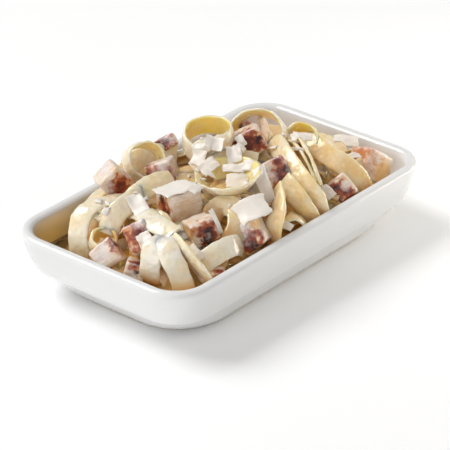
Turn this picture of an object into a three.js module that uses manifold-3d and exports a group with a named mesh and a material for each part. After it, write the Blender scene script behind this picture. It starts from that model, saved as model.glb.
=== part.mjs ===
// Fettuccine alfredo with diced grilled chicken and parmesan shavings, heaped in the
// small rectangular dish that it is served in.
//
// Millimetres, +Z up. The dish stands on z = 0 with its centre on the origin, its long
// side along X. The food is one heap of noodles with chicken and cheese lying on it.

import * as THREE from 'three';
import { mergeVertices } from 'three/addons/utils/BufferGeometryUtils.js';
import Module from 'manifold-3d';

const wasm = await Module();
wasm.setup();

// ---------------------------------------------------------------- driving dimensions

const DISH = {
  length: 170,
  width: 102,
  height: 30.5,
  cornerRadius: 18,
  rimWidth: 5,
  floorTop: 7,
  footRecess: 2,
};

const HEAP = {
  edgeHeight: 22,
  rise: 20,
  halfLength: 80,
  halfWidth: 47,
  flatness: [3.2, 3],
  shoulder: 0.7,
  coverDepth: 3,
};

// Where the heap falls away: the free corner at the left end of the far side, and the
// right end. A dip has its place, its depth and its reach along x and y.
const DIPS = [
  { at: [-80, 46], depth: 20, reach: [22.8, 22.8] },
  { at: [80, 20], depth: 8, reach: [20, 40] },
];

const NOODLE = { width: 9.5, thickness: 1.9, sampleLength: 6 };

// Gap between neighbouring pieces.
const GAP = 0.3;

const SHAVING_THICKNESS = 0.9;

// Chicken cubes: how far their corners are drawn in, and how skew their faces may be.
const CUBE = { cells: 2, roundness: 0.14, skew: 0.09 };

// Height that the food's clear space is carried to above the rim.
const CLEAR_SPACE_TOP = 80;

// ---------------------------------------------------------------- materials

const material = (color, roughness) =>
  new THREE.MeshStandardMaterial({ color, roughness, metalness: 0 });

const glaze = material('#f4f3f0', 0.18);
const pasta = material('#efe0b4', 0.4);
const chicken = material('#cf9d78', 0.55);
const parmesan = material('#ebe2cf', 0.5);

// ---------------------------------------------------------------- small helpers

const degrees = THREE.MathUtils.degToRad;

// Unit vector from a compass heading (0 along +X, 90 along +Y) and a pitch above level.
function direction([heading, pitch]) {
  const level = Math.cos(degrees(pitch));
  return new THREE.Vector3(
    level * Math.cos(degrees(heading)),
    level * Math.sin(degrees(heading)),
    Math.sin(degrees(pitch)),
  );
}

// Repeatable random numbers from 0 to 1.
function seededRandom(seed) {
  let state = seed;
  return () => {
    state = (state * 1664525 + 1013904223) % 4294967296;
    return state / 4294967296;
  };
}

function geometryFrom(points, triangles) {
  const geometry = new THREE.BufferGeometry();
  geometry.setAttribute('position', new THREE.Float32BufferAttribute(points.flat(), 3));
  geometry.setIndex(triangles.flat());
  return geometry;
}

// A closed solid through rings of equal length, shut by a fan at each end. The rings
// run counterclockwise as seen from the end of the loft.
function loft(rings) {
  const count = rings[0].length;
  const points = rings.flat();
  const triangles = [];
  for (let r = 0; r + 1 < rings.length; r += 1) {
    for (let i = 0; i < count; i += 1) {
      const a = r * count + i;
      const b = r * count + ((i + 1) % count);
      triangles.push([a, b, b + count], [a, b + count, a + count]);
    }
  }
  const cap = (ring, first, flip) => {
    const centre = points.length;
    const middle = [0, 1, 2].map(
      (axis) => ring.reduce((sum, point) => sum + point[axis], 0) / count,
    );
    points.push(middle);
    for (let i = 0; i < count; i += 1) {
      const a = first + i;
      const b = first + ((i + 1) % count);
      triangles.push(flip ? [b, a, centre] : [a, b, centre]);
    }
  };
  cap(rings[0], 0, true);
  cap(rings.at(-1), (rings.length - 1) * count, false);
  return geometryFrom(points, triangles);
}

function toManifold(geometry) {
  const bare = new THREE.BufferGeometry();
  bare.setAttribute('position', geometry.getAttribute('position'));
  bare.setIndex(geometry.getIndex());
  const merged = mergeVertices(bare, 1e-4);
  return new wasm.Manifold(
    new wasm.Mesh({
      numProp: 3,
      vertProperties: new Float32Array(merged.getAttribute('position').array),
      triVerts: new Uint32Array(merged.getIndex().array),
    }),
  );
}

function toGeometry(manifold) {
  const mesh = manifold.getMesh();
  const geometry = new THREE.BufferGeometry();
  geometry.setAttribute('position', new THREE.BufferAttribute(mesh.vertProperties, 3));
  geometry.setIndex(new THREE.BufferAttribute(mesh.triVerts, 1));
  return geometry;
}

// ---------------------------------------------------------------- dish

// A level ring with rounded corners, inset from the dish's outer rim on each side.
function dishRing({ insetX, insetY, radius, z }) {
  const stepsPerCorner = 6;
  const cornerX = DISH.length / 2 - insetX - radius;
  const cornerY = DISH.width / 2 - insetY - radius;
  const corners = [[1, 1], [-1, 1], [-1, -1], [1, -1]];
  return corners.flatMap(([sideX, sideY], quarter) =>
    Array.from({ length: stepsPerCorner + 1 }, (_, step) => {
      const angle = (Math.PI / 2) * (quarter + step / stepsPerCorner);
      return [
        sideX * cornerX + radius * Math.cos(angle),
        sideY * cornerY + radius * Math.sin(angle),
        z,
      ];
    }));
}

const ring = (insetX, insetY, radius, z) => ({ insetX, insetY, radius, z });

// The cavity's wall from the rim's inner edge down to the floor.
function cavityRings(shrink) {
  const edge = DISH.rimWidth + shrink;
  const top = DISH.height;
  const floor = DISH.floorTop + shrink;
  return [
    ring(edge + 0.4, edge + 0.4, DISH.cornerRadius - 5, top - 2.5),
    ring(edge + 1.4, edge + 1.4, DISH.cornerRadius - 5, top - 10),
    ring(edge + 3.2, edge + 2.8, DISH.cornerRadius - 4, top - 16),
    ring(edge + 6.5, edge + 5.2, DISH.cornerRadius - 2, floor + 3.6),
    ring(edge + 11, edge + 8.8, DISH.cornerRadius, floor + 1),
    ring(edge + 17, edge + 14, DISH.cornerRadius, floor),
  ];
}

function dishGeometry() {
  const { height, cornerRadius, rimWidth, footRecess } = DISH;
  const underside = [
    ring(22, 19, 23, footRecess),
    ring(19.6, 16.6, 25, 0),
  ];
  const foot = [
    ring(16.4, 13.2, 27, 0),
    ring(15.6, 12.6, 26, 0.8),
  ];
  const body = [
    ring(13.4, 10.8, 23, 2.9),
    ring(8.4, 7.2, 19, 8.3),
    ring(5.9, 5.4, 18.4, 11),
    ring(3.9, 3.8, 18, 13.4),
    ring(2.5, 2.5, 18, 16.8),
    ring(1.2, 1.2, 18, 21),
    ring(0.5, 0.5, 18, 25),
  ];
  const rim = [
    ring(0, 0, cornerRadius, height - 2.2),
    ring(0.2, 0.2, cornerRadius, height - 0.9),
    ring(1.3, 1.3, cornerRadius - 1, height),
    ring(rimWidth - 1.3, rimWidth - 1.3, cornerRadius - 4, height),
    ring(rimWidth - 0.1, rimWidth - 0.1, cornerRadius - 5, height - 0.9),
  ];
  return loft([...underside, ...foot, ...body, ...rim, ...cavityRings(0)].map(dishRing));
}

// ---------------------------------------------------------------- heap

// Top of the bare heap at a place in the dish. It falls off to the rim and at the dips.
function heapTop(x, y) {
  const alongX = Math.min(Math.abs(x) / HEAP.halfLength, 1);
  const alongY = Math.min(Math.abs(y) / HEAP.halfWidth, 1);
  const [flatX, flatY] = HEAP.flatness;
  const dome = ((1 - alongX ** flatX) * (1 - alongY ** flatY)) ** HEAP.shoulder;
  const fall = DIPS.reduce((sum, { at, depth, reach }) => {
    const away = Math.hypot((x - at[0]) / reach[0], (y - at[1]) / reach[1]);
    return sum + depth * Math.exp(-(away ** 2));
  }, 0);
  return HEAP.edgeHeight + HEAP.rise * dome - fall;
}

// The close-packed inside of the heap, below the noodles that cover it.
function coreGeometry() {
  const walls = cavityRings(GAP).slice(1).reverse().map(dishRing);
  const outline = dishRing(cavityRings(GAP)[1]);
  const scales = [0.985, 0.93, 0.85, 0.74, 0.6, 0.44, 0.28, 0.12];
  const dome = scales.map((scale) => outline.map(([x, y]) => {
    const px = x * scale;
    const py = y * scale;
    return [px, py, Math.max(heapTop(px, py) - HEAP.coverDepth, DISH.floorTop + 5)];
  }));
  const belowDome = walls.slice(0, -1);
  return loft([...belowDome, ...dome]);
}

// The room that food may take: the cavity and the column above the rim's inner edge.
function roomGeometry() {
  const walls = cavityRings(GAP).reverse();
  const rimEdge = DISH.rimWidth + GAP;
  const top = ring(rimEdge, rimEdge, DISH.cornerRadius - 5, DISH.height);
  return loft([...walls, top, { ...top, z: CLEAR_SPACE_TOP }].map(dishRing));
}

// ---------------------------------------------------------------- noodles

// Noodles in sight, each by the knots of its centre line. A noodle that arches or coils
// keeps its width along an axis; one that lies on the heap turns its flat side to a
// direction. Both are [heading, pitch], and a second pair holds at the far end.
const NOODLES = [
  // Left end: the arch, the broad strand in front of it and the small loop.
  { knots: [[-71, 20, 14], [-73, 18, 24], [-72, 19, 35], [-66, 20, 42], [-56, 18, 43],
    [-45, 16, 41], [-35, 13, 36]], axis: [[-70, 0], [-92, 0]] },
  { knots: [[-34, 9, 41], [-46, 8, 44], [-56, 8, 43], [-61, 9, 39], [-63, 10, 33]],
    face: [[-138, 40], [-138, 15]] },
  { knots: [[-64, 5, 28], [-62, 7, 30], [-61, 11, 32], [-64, 14, 33], [-68, 15, 32], [-71, 13, 30],
    [-71, 9, 28]], axis: [[-120, 55]] },
  // Standing loops along the far side.
  { knots: [[-20, 21, 40], [-15, 22, 43], [-13, 26, 48], [-16, 30, 51], [-20, 32, 51],
    [-25, 33, 50], [-28, 31, 46], [-28, 29, 42], [-26, 26, 39]], axis: [[-108, 38]] },
  { knots: [[-3, 3, 53], [5, 1, 53], [11, 4, 54], [14, 11, 54], [11, 18, 54], [4, 22, 53],
    [-2, 20, 51], [-6, 14, 49], [-5, 7, 47], [-1, 2, 44]], axis: [[-138, 80]] },
  { knots: [[22, 15, 44], [27, 16, 48], [32, 14, 51], [36, 8, 53], [38, 1, 52], [36, -6, 48],
    [31, -10, 44], [28, -12, 40]], axis: [[-160, 50]] },
  { knots: [[33, -8, 42], [37, -5, 44], [42, -5, 46], [45, -8, 47], [47, -13, 45], [45, -17, 43],
    [42, -19, 41]], axis: [[-138, 60]] },
  // Strands that sweep down to the near side at the right.
  { knots: [[44, -10, 42], [41, -16, 44], [40, -21, 43], [40, -28, 41], [42, -35, 38],
    [45, -40, 32], [47, -42, 25]], face: [[-145, 40], [-130, 30]] },
  { knots: [[27, -6, 46.5], [24, -11, 47.5], [19.5, -18, 47.5], [16.5, -24, 46], [13.5, -31, 44],
    [12, -37, 41], [13, -41.5, 36], [16, -43, 27]], face: [[-190, 45], [-170, 30]] },
  { knots: [[8, -28, 42], [6.5, -33, 40.5], [6, -37, 38], [7, -41, 33], [10, -43, 26]],
    face: [[-175, 25], [-160, 10]] },
  { knots: [[-7, -38, 30], [-2, -41, 33], [3, -43, 29], [5, -44, 24]], axis: [[-138, 10]] },
  { knots: [[0, -31, 42], [-5, -36, 41], [-10, -40, 38], [-14, -41, 34], [-16, -42, 25]],
    face: [[-185, 12]] },
  { knots: [[37, -12, 45], [33, -18, 46], [29, -26, 43], [26, -31, 40], [23, -37, 35]],
    axis: [[-138, 45]] },
  { knots: [[34, -11, 43], [31, -17, 44], [28, -23, 43], [25, -29, 40], [22, -35, 36]],
    axis: [[-138, 45]] },
  // Near left corner: the strand with the cut end, the loop under it, the folded strand,
  // the one at its right and the one at the rim.
  { knots: [[-50, 3, 40], [-54, -4, 43], [-58, -14, 44], [-59, -24, 42.5]], face: [[-138, 58]] },
  { knots: [[-63, -22, 41], [-68, -21, 40], [-71, -22, 36], [-72, -22, 30], [-71, -21, 25],
    [-68, -20, 22], [-64, -19, 22]], axis: [[-75, -5]] },
  { knots: [[-60, -20, 41], [-65, -26, 41.5], [-68, -31, 38], [-68, -34, 33], [-67, -36, 26],
    [-66, -37, 20]], face: [[-132, 25], [-132, 5]] },
  { knots: [[-61, -26, 41], [-62, -33, 39], [-61, -38, 34], [-58, -41, 27], [-55, -41, 20]],
    axis: [[-100, 8]] },
  { knots: [[-58, -34, 28], [-52, -38, 33], [-45, -40, 35], [-38, -40, 34], [-32, -38, 30]],
    face: [[-132, 38]] },
  // Centre: the open curl and the strands in its mouth.
  { knots: [[-19, -5, 46], [-25, -11, 46], [-24, -20, 46], [-17, -26, 47], [-8, -25, 48],
    [-2, -18, 48], [-3, -9, 47], [-10, -3, 46]], axis: [[0, 90]], bank: 40 },
  { knots: [[-33, -21, 37], [-27, -22, 42], [-25, -29, 42], [-29, -34, 38], [-36, -35, 32]],
    face: [[-120, 35]] },
  { knots: [[-10, -4, 40], [-11, -12, 42], [-15, -18, 41], [-22, -22, 38]], face: [[-100, 50]] },
  // Between the cubes of the middle.
  { knots: [[-52, 12, 38], [-44, 10, 44], [-34, 9, 46], [-24, 8, 44]], face: [[-110, 55]] },
  { knots: [[-55, -3, 38], [-53, -10, 42], [-56, -16, 40]], face: [[-150, 50]] },
  { knots: [[-12, 6, 44], [-4, 2, 48], [5, -3, 47], [12, -10, 44]], face: [[-120, 60]] },
  { knots: [[58, 6, 31], [62, -3, 32], [61, -12, 33], [57, -20, 32]], face: [[-160, 60]] },
  { knots: [[54, 22, 32], [60, 13, 31], [67, 3, 27], [71, -8, 23]], face: [[-120, 60]] },
];

// Strands that cover the rest of the heap lie level on it at seeded places.
const COVER = {
  seed: 7,
  count: 15,
  steps: 4,
  stepLength: 10,
  turn: 0.55,
  lift: 0.3,
  arch: 1.6,
  slope: 20,
  reachX: 54,
  reachY: 34,
  farSide: [12, 38],
  leftEnd: { far: -54, near: -68 },
  rightEnd: 70,
};

function coverNoodles() {
  const random = seededRandom(COVER.seed);
  const strands = [];
  while (strands.length < COVER.count) {
    const [farFrom, farTo] = COVER.farSide;
    const onFarSide = strands.length < COVER.count / 2;
    let x = (random() * 2 - 1) * COVER.reachX;
    let y = onFarSide ? farFrom + random() * (farTo - farFrom) : (random() * 2 - 1) * COVER.reachY;
    let heading = random() * Math.PI * 2;
    const bend = (random() * 2 - 1) * COVER.turn;
    const knots = [];
    for (let step = 0; step <= COVER.steps; step += 1) {
      const arch = COVER.arch * Math.sin((Math.PI * step) / COVER.steps);
      knots.push([x, y, heapTop(x, y) + COVER.lift + arch]);
      y = THREE.MathUtils.clamp(y + COVER.stepLength * Math.sin(heading), -farTo, farTo);
      const leftEnd = y > 0 ? COVER.leftEnd.far : COVER.leftEnd.near;
      x = THREE.MathUtils.clamp(x + COVER.stepLength * Math.cos(heading), leftEnd, COVER.rightEnd);
      heading += bend;
    }
    strands.push({ knots, face: [[90, 90 - Math.sign(y) * COVER.slope]] });
  }
  return strands;
}

// A flat ribbon swept along its knots.
function noodleGeometry({ knots, axis, face, bank = 0 }) {
  const curve = new THREE.CatmullRomCurve3(
    knots.map((knot) => new THREE.Vector3(...knot)), false, 'centripetal',
  );
  const steps = Math.max(6, Math.round(curve.getLength() / NOODLE.sampleLength));
  const [from, to = from] = (axis ?? face).map(direction);
  const section = [[-1, -1], [1, -1], [1, 1], [-1, 1]];
  const rings = [];
  for (let step = 0; step <= steps; step += 1) {
    const along = step / steps;
    const centre = curve.getPointAt(along);
    const tangent = curve.getTangentAt(along);
    const guide = from.clone().lerp(to, along);
    const across = axis ? guide : new THREE.Vector3().crossVectors(guide, tangent);
    across.addScaledVector(tangent, -across.dot(tangent)).normalize();
    across.applyAxisAngle(tangent, degrees(bank));
    const outward = new THREE.Vector3().crossVectors(tangent, across);
    rings.push(section.map(([side, skin]) => centre.clone()
      .addScaledVector(across, (side * NOODLE.width) / 2)
      .addScaledVector(outward, (skin * NOODLE.thickness) / 2)
      .toArray()));
  }
  return loft(rings);
}

// ---------------------------------------------------------------- chicken

// Diced grilled chicken: centre, size and turn of each cube. The turn is in degrees
// about Z, then Y, then X.
const CHICKEN = [
  { at: [-39, 29, 43], size: [12, 12, 12], turn: [-33, 49, -6] },
  { at: [0, 33, 44], size: [10, 9, 6], turn: [-38, -27, -31] },
  { at: [-18, 19, 42], size: [12, 12, 10], turn: [-56, -20, -13] },
  { at: [-37, -8, 41.5], size: [15, 15, 17], turn: [-18, 2, -9] },
  { at: [19, 2, 46.5], size: [15, 13.5, 12.5], turn: [-33, -22, -21] },
  { at: [35, 12, 44], size: [12, 11, 11], turn: [11, 44, -24] },
  { at: [12.5, -20.5, 40.5], size: [13, 13, 14], turn: [-38, -28, -34] },
  { at: [-43, -25, 38], size: [12, 12, 11], turn: [-24, -8, -10] },
  { at: [-24, -36.2, 31.5], size: [14, 13, 13], turn: [-48, -32, -24] },
  { at: [-61, -7, 36], size: [11, 12, 13], turn: [-42, -24, -37] },
  { at: [-71, 3, 28], size: [12, 12, 11], turn: [-35, -33, -43] },
  { at: [-70, -12, 26], size: [9, 11, 8], turn: [-59, 14, -15] },
  { at: [37, -37, 29], size: [11, 12, 11], turn: [-33, -34, -35] },
  { at: [63, -32, 28], size: [15, 14, 14], turn: [-19, 35, -20] },
  { at: [33, -14, 41], size: [10, 9, 8], turn: [-72, -30, -4] },
  { at: [-53, -40, 26], size: [11, 4, 5], turn: [-20, 10, 20] },
];

// A cube with slightly bulged, uneven faces and rounded edges.
function chickenGeometry({ at, size, turn }, index, grow) {
  const box = new THREE.BoxGeometry(1, 1, 1, CUBE.cells, CUBE.cells, CUBE.cells);
  box.deleteAttribute('normal');
  box.deleteAttribute('uv');
  const cube = mergeVertices(box, 1e-4);
  const random = seededRandom(index * 97 + 13);
  const skew = Array.from({ length: 3 }, () => (random() * 2 - 1) * CUBE.skew);
  const position = cube.getAttribute('position');
  const point = new THREE.Vector3();
  for (let i = 0; i < position.count; i += 1) {
    point.fromBufferAttribute(position, i).multiplyScalar(2);
    const reach = Math.hypot(point.x, point.y, point.z);
    const round = 1 - CUBE.roundness * (reach - 1);
    point.multiplyScalar(round / 2);
    point.x *= 1 + skew[0] * point.y * 2;
    point.y *= 1 + skew[1] * point.z * 2;
    point.z *= 1 + skew[2] * point.x * 2;
    position.setXYZ(
      i,
      point.x * (size[0] + 2 * grow),
      point.y * (size[1] + 2 * grow),
      point.z * (size[2] + 2 * grow),
    );
  }
  return placed(cube, at, turn);
}

function placed(geometry, at, turn) {
  const [aboutZ, aboutY, aboutX] = turn.map(degrees);
  const matrix = new THREE.Matrix4()
    .makeRotationFromEuler(new THREE.Euler(aboutX, aboutY, aboutZ, 'ZYX'))
    .setPosition(...at);
  return geometry.applyMatrix4(matrix);
}

// ---------------------------------------------------------------- parmesan

// Shavings of parmesan: centre, length and width, turn as for the chicken, and the
// height of the shaving's curl across its length.
const SHAVINGS = [
  { at: [-37, -7, 51.5], size: [19, 14], turn: [-18, 4, -9], curl: 1 },
  { at: [-5, 6, 50], size: [15, 9], turn: [20, -30, -35], curl: 1.4 },
  { at: [-5, 0, 56.5], size: [9, 7], turn: [-62, 11, 39], curl: -0.8 },
  { at: [-12, -3, 49], size: [9, 7], turn: [-20, -25, 25], curl: 0.8 },
  { at: [0, -7, 51], size: [9, 7], turn: [-127, 44, 8], curl: 0.8 },
  { at: [-5, -11, 47.5], size: [11, 5], turn: [-50, 5, 20], curl: 0.6 },
  { at: [-11.3, -18.3, 46.5], size: [10, 7], turn: [-49, 1, 40], curl: 0.6 },
  { at: [-4, -27.3, 45], size: [17, 6], turn: [-109, 54, 31], curl: 1.2 },
  { at: [-22.5, -36.5, 43.5], size: [16, 11.5], turn: [-30, -19, 30], curl: 1.2 },
  { at: [-50.5, 3.1, 43], size: [13, 7.5], turn: [-104, 40, 23], curl: 0.8 },
  { at: [-64.9, -13.8, 38], size: [9, 6.5], turn: [-101, 49, 29], curl: 0.5 },
  { at: [-56.5, -33.8, 36], size: [8, 5], turn: [-88, 37, 36], curl: 0.5 },
  { at: [35, -16, 48.5], size: [10, 5], turn: [-45, -2, 30], curl: 0.6 },
  { at: [25, -39, 33], size: [7, 5], turn: [-83, 34, 39], curl: 0.4 },
  { at: [-8, -43, 31.5], size: [6, 3.5], turn: [-66, 15, 38], curl: 0.3 },
  { at: [53, -31, 37], size: [7, 3], turn: [-30, 5, 20], curl: 0.3 },
  { at: [68.5, -14.2, 33], size: [12, 6.5], turn: [-55, 4, 28], curl: 0.6 },
];

// A thin wavy sheet, both faces split alike.
function shavingGeometry({ at, size, turn, curl }, index, grow) {
  const cellsLong = 4;
  const cellsWide = 2;
  const random = seededRandom(index * 31 + 5);
  const outline = Array.from({ length: 8 }, () => 0.86 + 0.14 * random());
  const sheet = (skin) => {
    const points = [];
    for (let j = 0; j <= cellsWide; j += 1) {
      for (let i = 0; i <= cellsLong; i += 1) {
        const u = (2 * i) / cellsLong - 1;
        const v = (2 * j) / cellsWide - 1;
        const lobe = outline[(i + 3 * j) % outline.length];
        const wave = curl * (1 - 1.6 * u * u) + 0.4 * curl * Math.sin(3 * u + 2 * v);
        const half = SHAVING_THICKNESS / 2 + grow;
        points.push([
          u * (size[0] / 2) * lobe + Math.sign(u) * grow,
          v * (size[1] / 2) * lobe + Math.sign(v) * grow,
          wave + skin * half,
        ]);
      }
    }
    return points;
  };
  const row = cellsLong + 1;
  const perSheet = row * (cellsWide + 1);
  const triangles = [];
  for (let j = 0; j < cellsWide; j += 1) {
    for (let i = 0; i < cellsLong; i += 1) {
      const a = j * row + i;
      const [b, c, d] = [a + 1, a + row + 1, a + row];
      triangles.push([a, c, b], [a, d, c]);
      triangles.push([a, b, c].map((k) => k + perSheet), [a, c, d].map((k) => k + perSheet));
    }
  }
  const side = (length, place) => Array.from({ length }, (_, k) => place(k));
  const border = [
    ...side(cellsLong, (k) => k),
    ...side(cellsWide, (k) => k * row + cellsLong),
    ...side(cellsLong, (k) => cellsWide * row + cellsLong - k),
    ...side(cellsWide, (k) => (cellsWide - k) * row),
  ];
  border.forEach((a, k) => {
    const b = border[(k + 1) % border.length];
    triangles.push([a, b, b + perSheet], [a, b + perSheet, a + perSheet]);
  });
  return placed(geometryFrom([...sheet(-1), ...sheet(1)], triangles), at, turn);
}

// ---------------------------------------------------------------- heap of noodles

// The core with all strands fused on, kept inside the dish and cut clear of what lies on
// it. Loose scraps and sealed hollows are dropped with the smaller shells.
function pastaGeometry() {
  const strands = [...NOODLES, ...coverNoodles()].map(noodleGeometry).map(toManifold);
  const toppings = [
    ...CHICKEN.map((piece, index) => chickenGeometry(piece, index, GAP)),
    ...SHAVINGS.map((piece, index) => shavingGeometry(piece, index, GAP)),
  ].map(toManifold);
  const heap = wasm.Manifold.union([toManifold(coreGeometry()), ...strands])
    .intersect(toManifold(roomGeometry()))
    .subtract(wasm.Manifold.union(toppings));
  const shells = heap.decompose().sort((a, b) => b.volume() - a.volume());
  return toGeometry(shells[0]);
}

// ---------------------------------------------------------------- assembly

const group = new THREE.Group();

function addPart(name, geometry, finish) {
  const mesh = new THREE.Mesh(geometry, finish);
  mesh.name = name;
  group.add(mesh);
}

const numbered = (name, index) => `${name}_${String(index + 1).padStart(2, '0')}`;

addPart('dish', dishGeometry(), glaze);
addPart('pasta', pastaGeometry(), pasta);
CHICKEN.forEach((piece, index) => {
  addPart(numbered('chicken', index), chickenGeometry(piece, index, 0), chicken);
});
SHAVINGS.forEach((piece, index) => {
  addPart(numbered('shaving', index), shavingGeometry(piece, index, 0), parmesan);
});

export default group;
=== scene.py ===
import math
from collections import namedtuple

import bpy
import numpy as np
from mathutils import Matrix, Vector, noise
from mathutils.bvhtree import BVHTree


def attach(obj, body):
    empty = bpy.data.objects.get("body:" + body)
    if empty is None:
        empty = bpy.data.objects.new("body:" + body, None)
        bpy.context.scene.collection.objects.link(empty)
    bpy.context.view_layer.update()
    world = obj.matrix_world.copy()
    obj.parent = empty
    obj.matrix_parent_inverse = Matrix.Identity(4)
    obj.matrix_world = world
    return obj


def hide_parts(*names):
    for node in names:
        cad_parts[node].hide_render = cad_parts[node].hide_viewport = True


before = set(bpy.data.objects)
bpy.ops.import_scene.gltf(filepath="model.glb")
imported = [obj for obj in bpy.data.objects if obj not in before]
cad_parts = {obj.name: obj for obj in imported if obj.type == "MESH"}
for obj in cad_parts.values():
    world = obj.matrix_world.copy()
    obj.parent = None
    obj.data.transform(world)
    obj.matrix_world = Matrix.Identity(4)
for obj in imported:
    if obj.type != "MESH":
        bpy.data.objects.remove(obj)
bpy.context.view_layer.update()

# ---------------------------------------------------------------------------------------
# Studio. A white table under a large soft window light from behind, a weak wide one from
# the near left, a small white card at each end and the bright room. The camera stands at a
# near corner.

MM = 0.001


def linear(hex_colour):
    """An sRGB hex colour as the linear colour that a shader takes."""
    channels = [int(hex_colour[i:i + 2], 16) / 255 for i in (1, 3, 5)]
    return *(c / 12.92 if c <= 0.04045 else ((c + 0.055) / 1.055) ** 2.4 for c in channels), 1


def add(tree, kind, inputs=None, stops=(), **settings):
    """Adds a node with its settings and the stops of its colour ramp. An input is given a
    value, an sRGB hex colour, a socket, or a node that it takes the first live output of."""
    node = tree.nodes.new(kind)
    for name, value in settings.items():
        setattr(node, name, value)
    for socket, value in (inputs or {}).items():
        if isinstance(value, bpy.types.Node):
            value = next(output for output in value.outputs if output.enabled)
        if isinstance(value, bpy.types.NodeSocket):
            tree.links.new(value, node.inputs[socket])
        else:
            is_colour = isinstance(value, str) and value.startswith("#")
            node.inputs[socket].default_value = linear(value) if is_colour else value
    while stops and len(node.color_ramp.elements) < len(stops):
        node.color_ramp.elements.new(1.0)
    for k, (position, colour) in enumerate(stops):
        element = node.color_ramp.elements[k]
        element.position, element.color = position, linear(colour)
    return node


def finish_named(name):
    """An empty material and its node tree."""
    material = bpy.data.materials.new(name)
    material.use_nodes = True
    material.node_tree.nodes.clear()
    return material, material.node_tree


def linked(name, data):
    """A new object with the given data, in the scene."""
    made = bpy.data.objects.new(name, data)
    bpy.context.collection.objects.link(made)
    return made


def mesh_object(name, points, faces, material):
    """An object at the origin whose place is in its mesh. Points are in millimetres."""
    mesh = bpy.data.meshes.new(name)
    mesh.from_pydata([tuple(c * MM for c in point) for point in points], [], faces)
    mesh.validate()
    for polygon in mesh.polygons:
        polygon.use_smooth = True
    mesh.materials.append(material)
    return linked(name, mesh)


AZIMUTH = math.radians(-48.31)
ELEVATION = math.radians(28.41)
ROLL = math.radians(-1.45)
CAMERA_DISTANCE = 1.2304
LOOK_AT = Vector((-1.387, -1.936, 15.231)) * MM

towards_camera = Vector((
    math.sin(AZIMUTH) * math.cos(ELEVATION),
    -math.cos(AZIMUTH) * math.cos(ELEVATION),
    math.sin(ELEVATION),
))
level_right = (-towards_camera).cross(Vector((0, 0, 1))).normalized()
level_up = level_right.cross(-towards_camera)
right = math.cos(ROLL) * level_right + math.sin(ROLL) * level_up
up = -math.sin(ROLL) * level_right + math.cos(ROLL) * level_up
camera_data = bpy.data.cameras.new("camera")
camera_data.sensor_width = 36
camera_data.lens = 223.04
camera_data.clip_start = 0.05
camera = linked("camera", camera_data)
camera.matrix_world = Matrix.Translation(LOOK_AT + towards_camera * CAMERA_DISTANCE) @ Matrix(
    (right, up, towards_camera)).transposed().to_4x4()
bpy.context.scene.camera = camera


def window_light(name, direction, distance, size, watts, colour):
    """A square soft light that looks at the dish."""
    data = bpy.data.lights.new(name, "AREA")
    data.size = size
    data.energy = watts
    data.color = linear(colour)[:3]
    light = linked(name, data)
    light.visible_camera = False
    place = Vector(direction).normalized() * distance
    turn = place.to_track_quat("Z", "Y").to_matrix().to_4x4()
    light.matrix_world = Matrix.Translation(place) @ turn


# Where each light stands from the dish, how far off and how large in metres, and its watts.
window_light("window", (-0.22, 0.78, 1.0), 3.0, 1.6, 59.0, "#ffffff")
window_light("near_window", (-1.0, -0.20, 0.8), 3.0, 2.0, 11.0, "#ffffff")
window_light("left_card", (-1.0, -0.15, 0.12), 0.6, 0.4, 0.8, "#ffffff")
window_light("right_card", (1.0, -0.62, 0.22), 0.30, 0.16, 0.4, "#fff8ec")

ROOM_BRIGHTNESS = 0.395
world = bpy.data.worlds.new("bright_room")
world.use_nodes = True
room = world.node_tree.nodes["Background"]
room.inputs["Color"].default_value = linear("#fefefe")
room.inputs["Strength"].default_value = ROOM_BRIGHTNESS
bpy.context.scene.world = world
bpy.context.scene.view_settings.view_transform = "Standard"

table_paint, tree = finish_named("matt white table")
shader = add(tree, "ShaderNodeBsdfPrincipled", {
    "Base Color": "#fefefe", "Roughness": 0.85, "Specular IOR Level": 0.2})
add(tree, "ShaderNodeOutputMaterial", {"Surface": shader})
TABLE_HALF = 1500
# Just below the foot's ring, which stands at 0.
TABLE_TOP = -0.2
table = mesh_object("table", [
    (x * TABLE_HALF, y * TABLE_HALF, TABLE_TOP) for x, y in ((-1, -1), (1, -1), (1, 1), (-1, 1))
], [(0, 1, 2, 3)], table_paint)

# ---------------------------------------------------------------------------------------
# Dish. Slip-cast white porcelain, clear glazed and fired. The glaze pools to a soft round
# rim and is wiped off the foot's ring, so that the ring stays matt and a little cream.

DISH_HALF_LENGTH = 85
DISH_HALF_WIDTH = 51
RIM_TOP = 30.5
FLOOR_TOP = 7
CORNER_STEPS = 14
ROW_SPLITS = 4
# Rows of the cavity from the rim down, until the look of the inside is whole.
FADE_ROWS = 8

# Level rings from the middle of the underside, over the rim and down into the cavity:
# inset from the outer rim on the ends, inset on the sides, corner radius, height.
UNDERSIDE_TO_RIM = [
    (22, 19, 23, 2), (19.6, 16.6, 25, 0), (16.4, 13.2, 27, 0), (15.6, 12.6, 26, 0.8),
    (13.4, 10.8, 23, 2.9), (10.9, 9, 20.5, 5.6), (8.4, 7.2, 19, 8.3), (5.9, 5.4, 18.4, 11),
    (3.9, 3.8, 18, 13.4), (2.5, 2.5, 18, 16.8), (1.2, 1.2, 18, 21), (0.5, 0.5, 18, 25),
    (0, 0, 18, 28.3), (0.2, 0.2, 18, 29.6), (1.3, 1.3, 17, 30.5), (3.7, 3.7, 14, 30.5),
    (4.9, 4.9, 13, 29.6),
]
CAVITY = [
    (5.4, 5.4, 13, 28), (6.4, 6.4, 13, 20.5), (8.2, 7.8, 14, 14.5), (11.5, 10.2, 16, 10.6),
    (16, 13.8, 18, 8), (22, 19, 18, 7),
]


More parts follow.
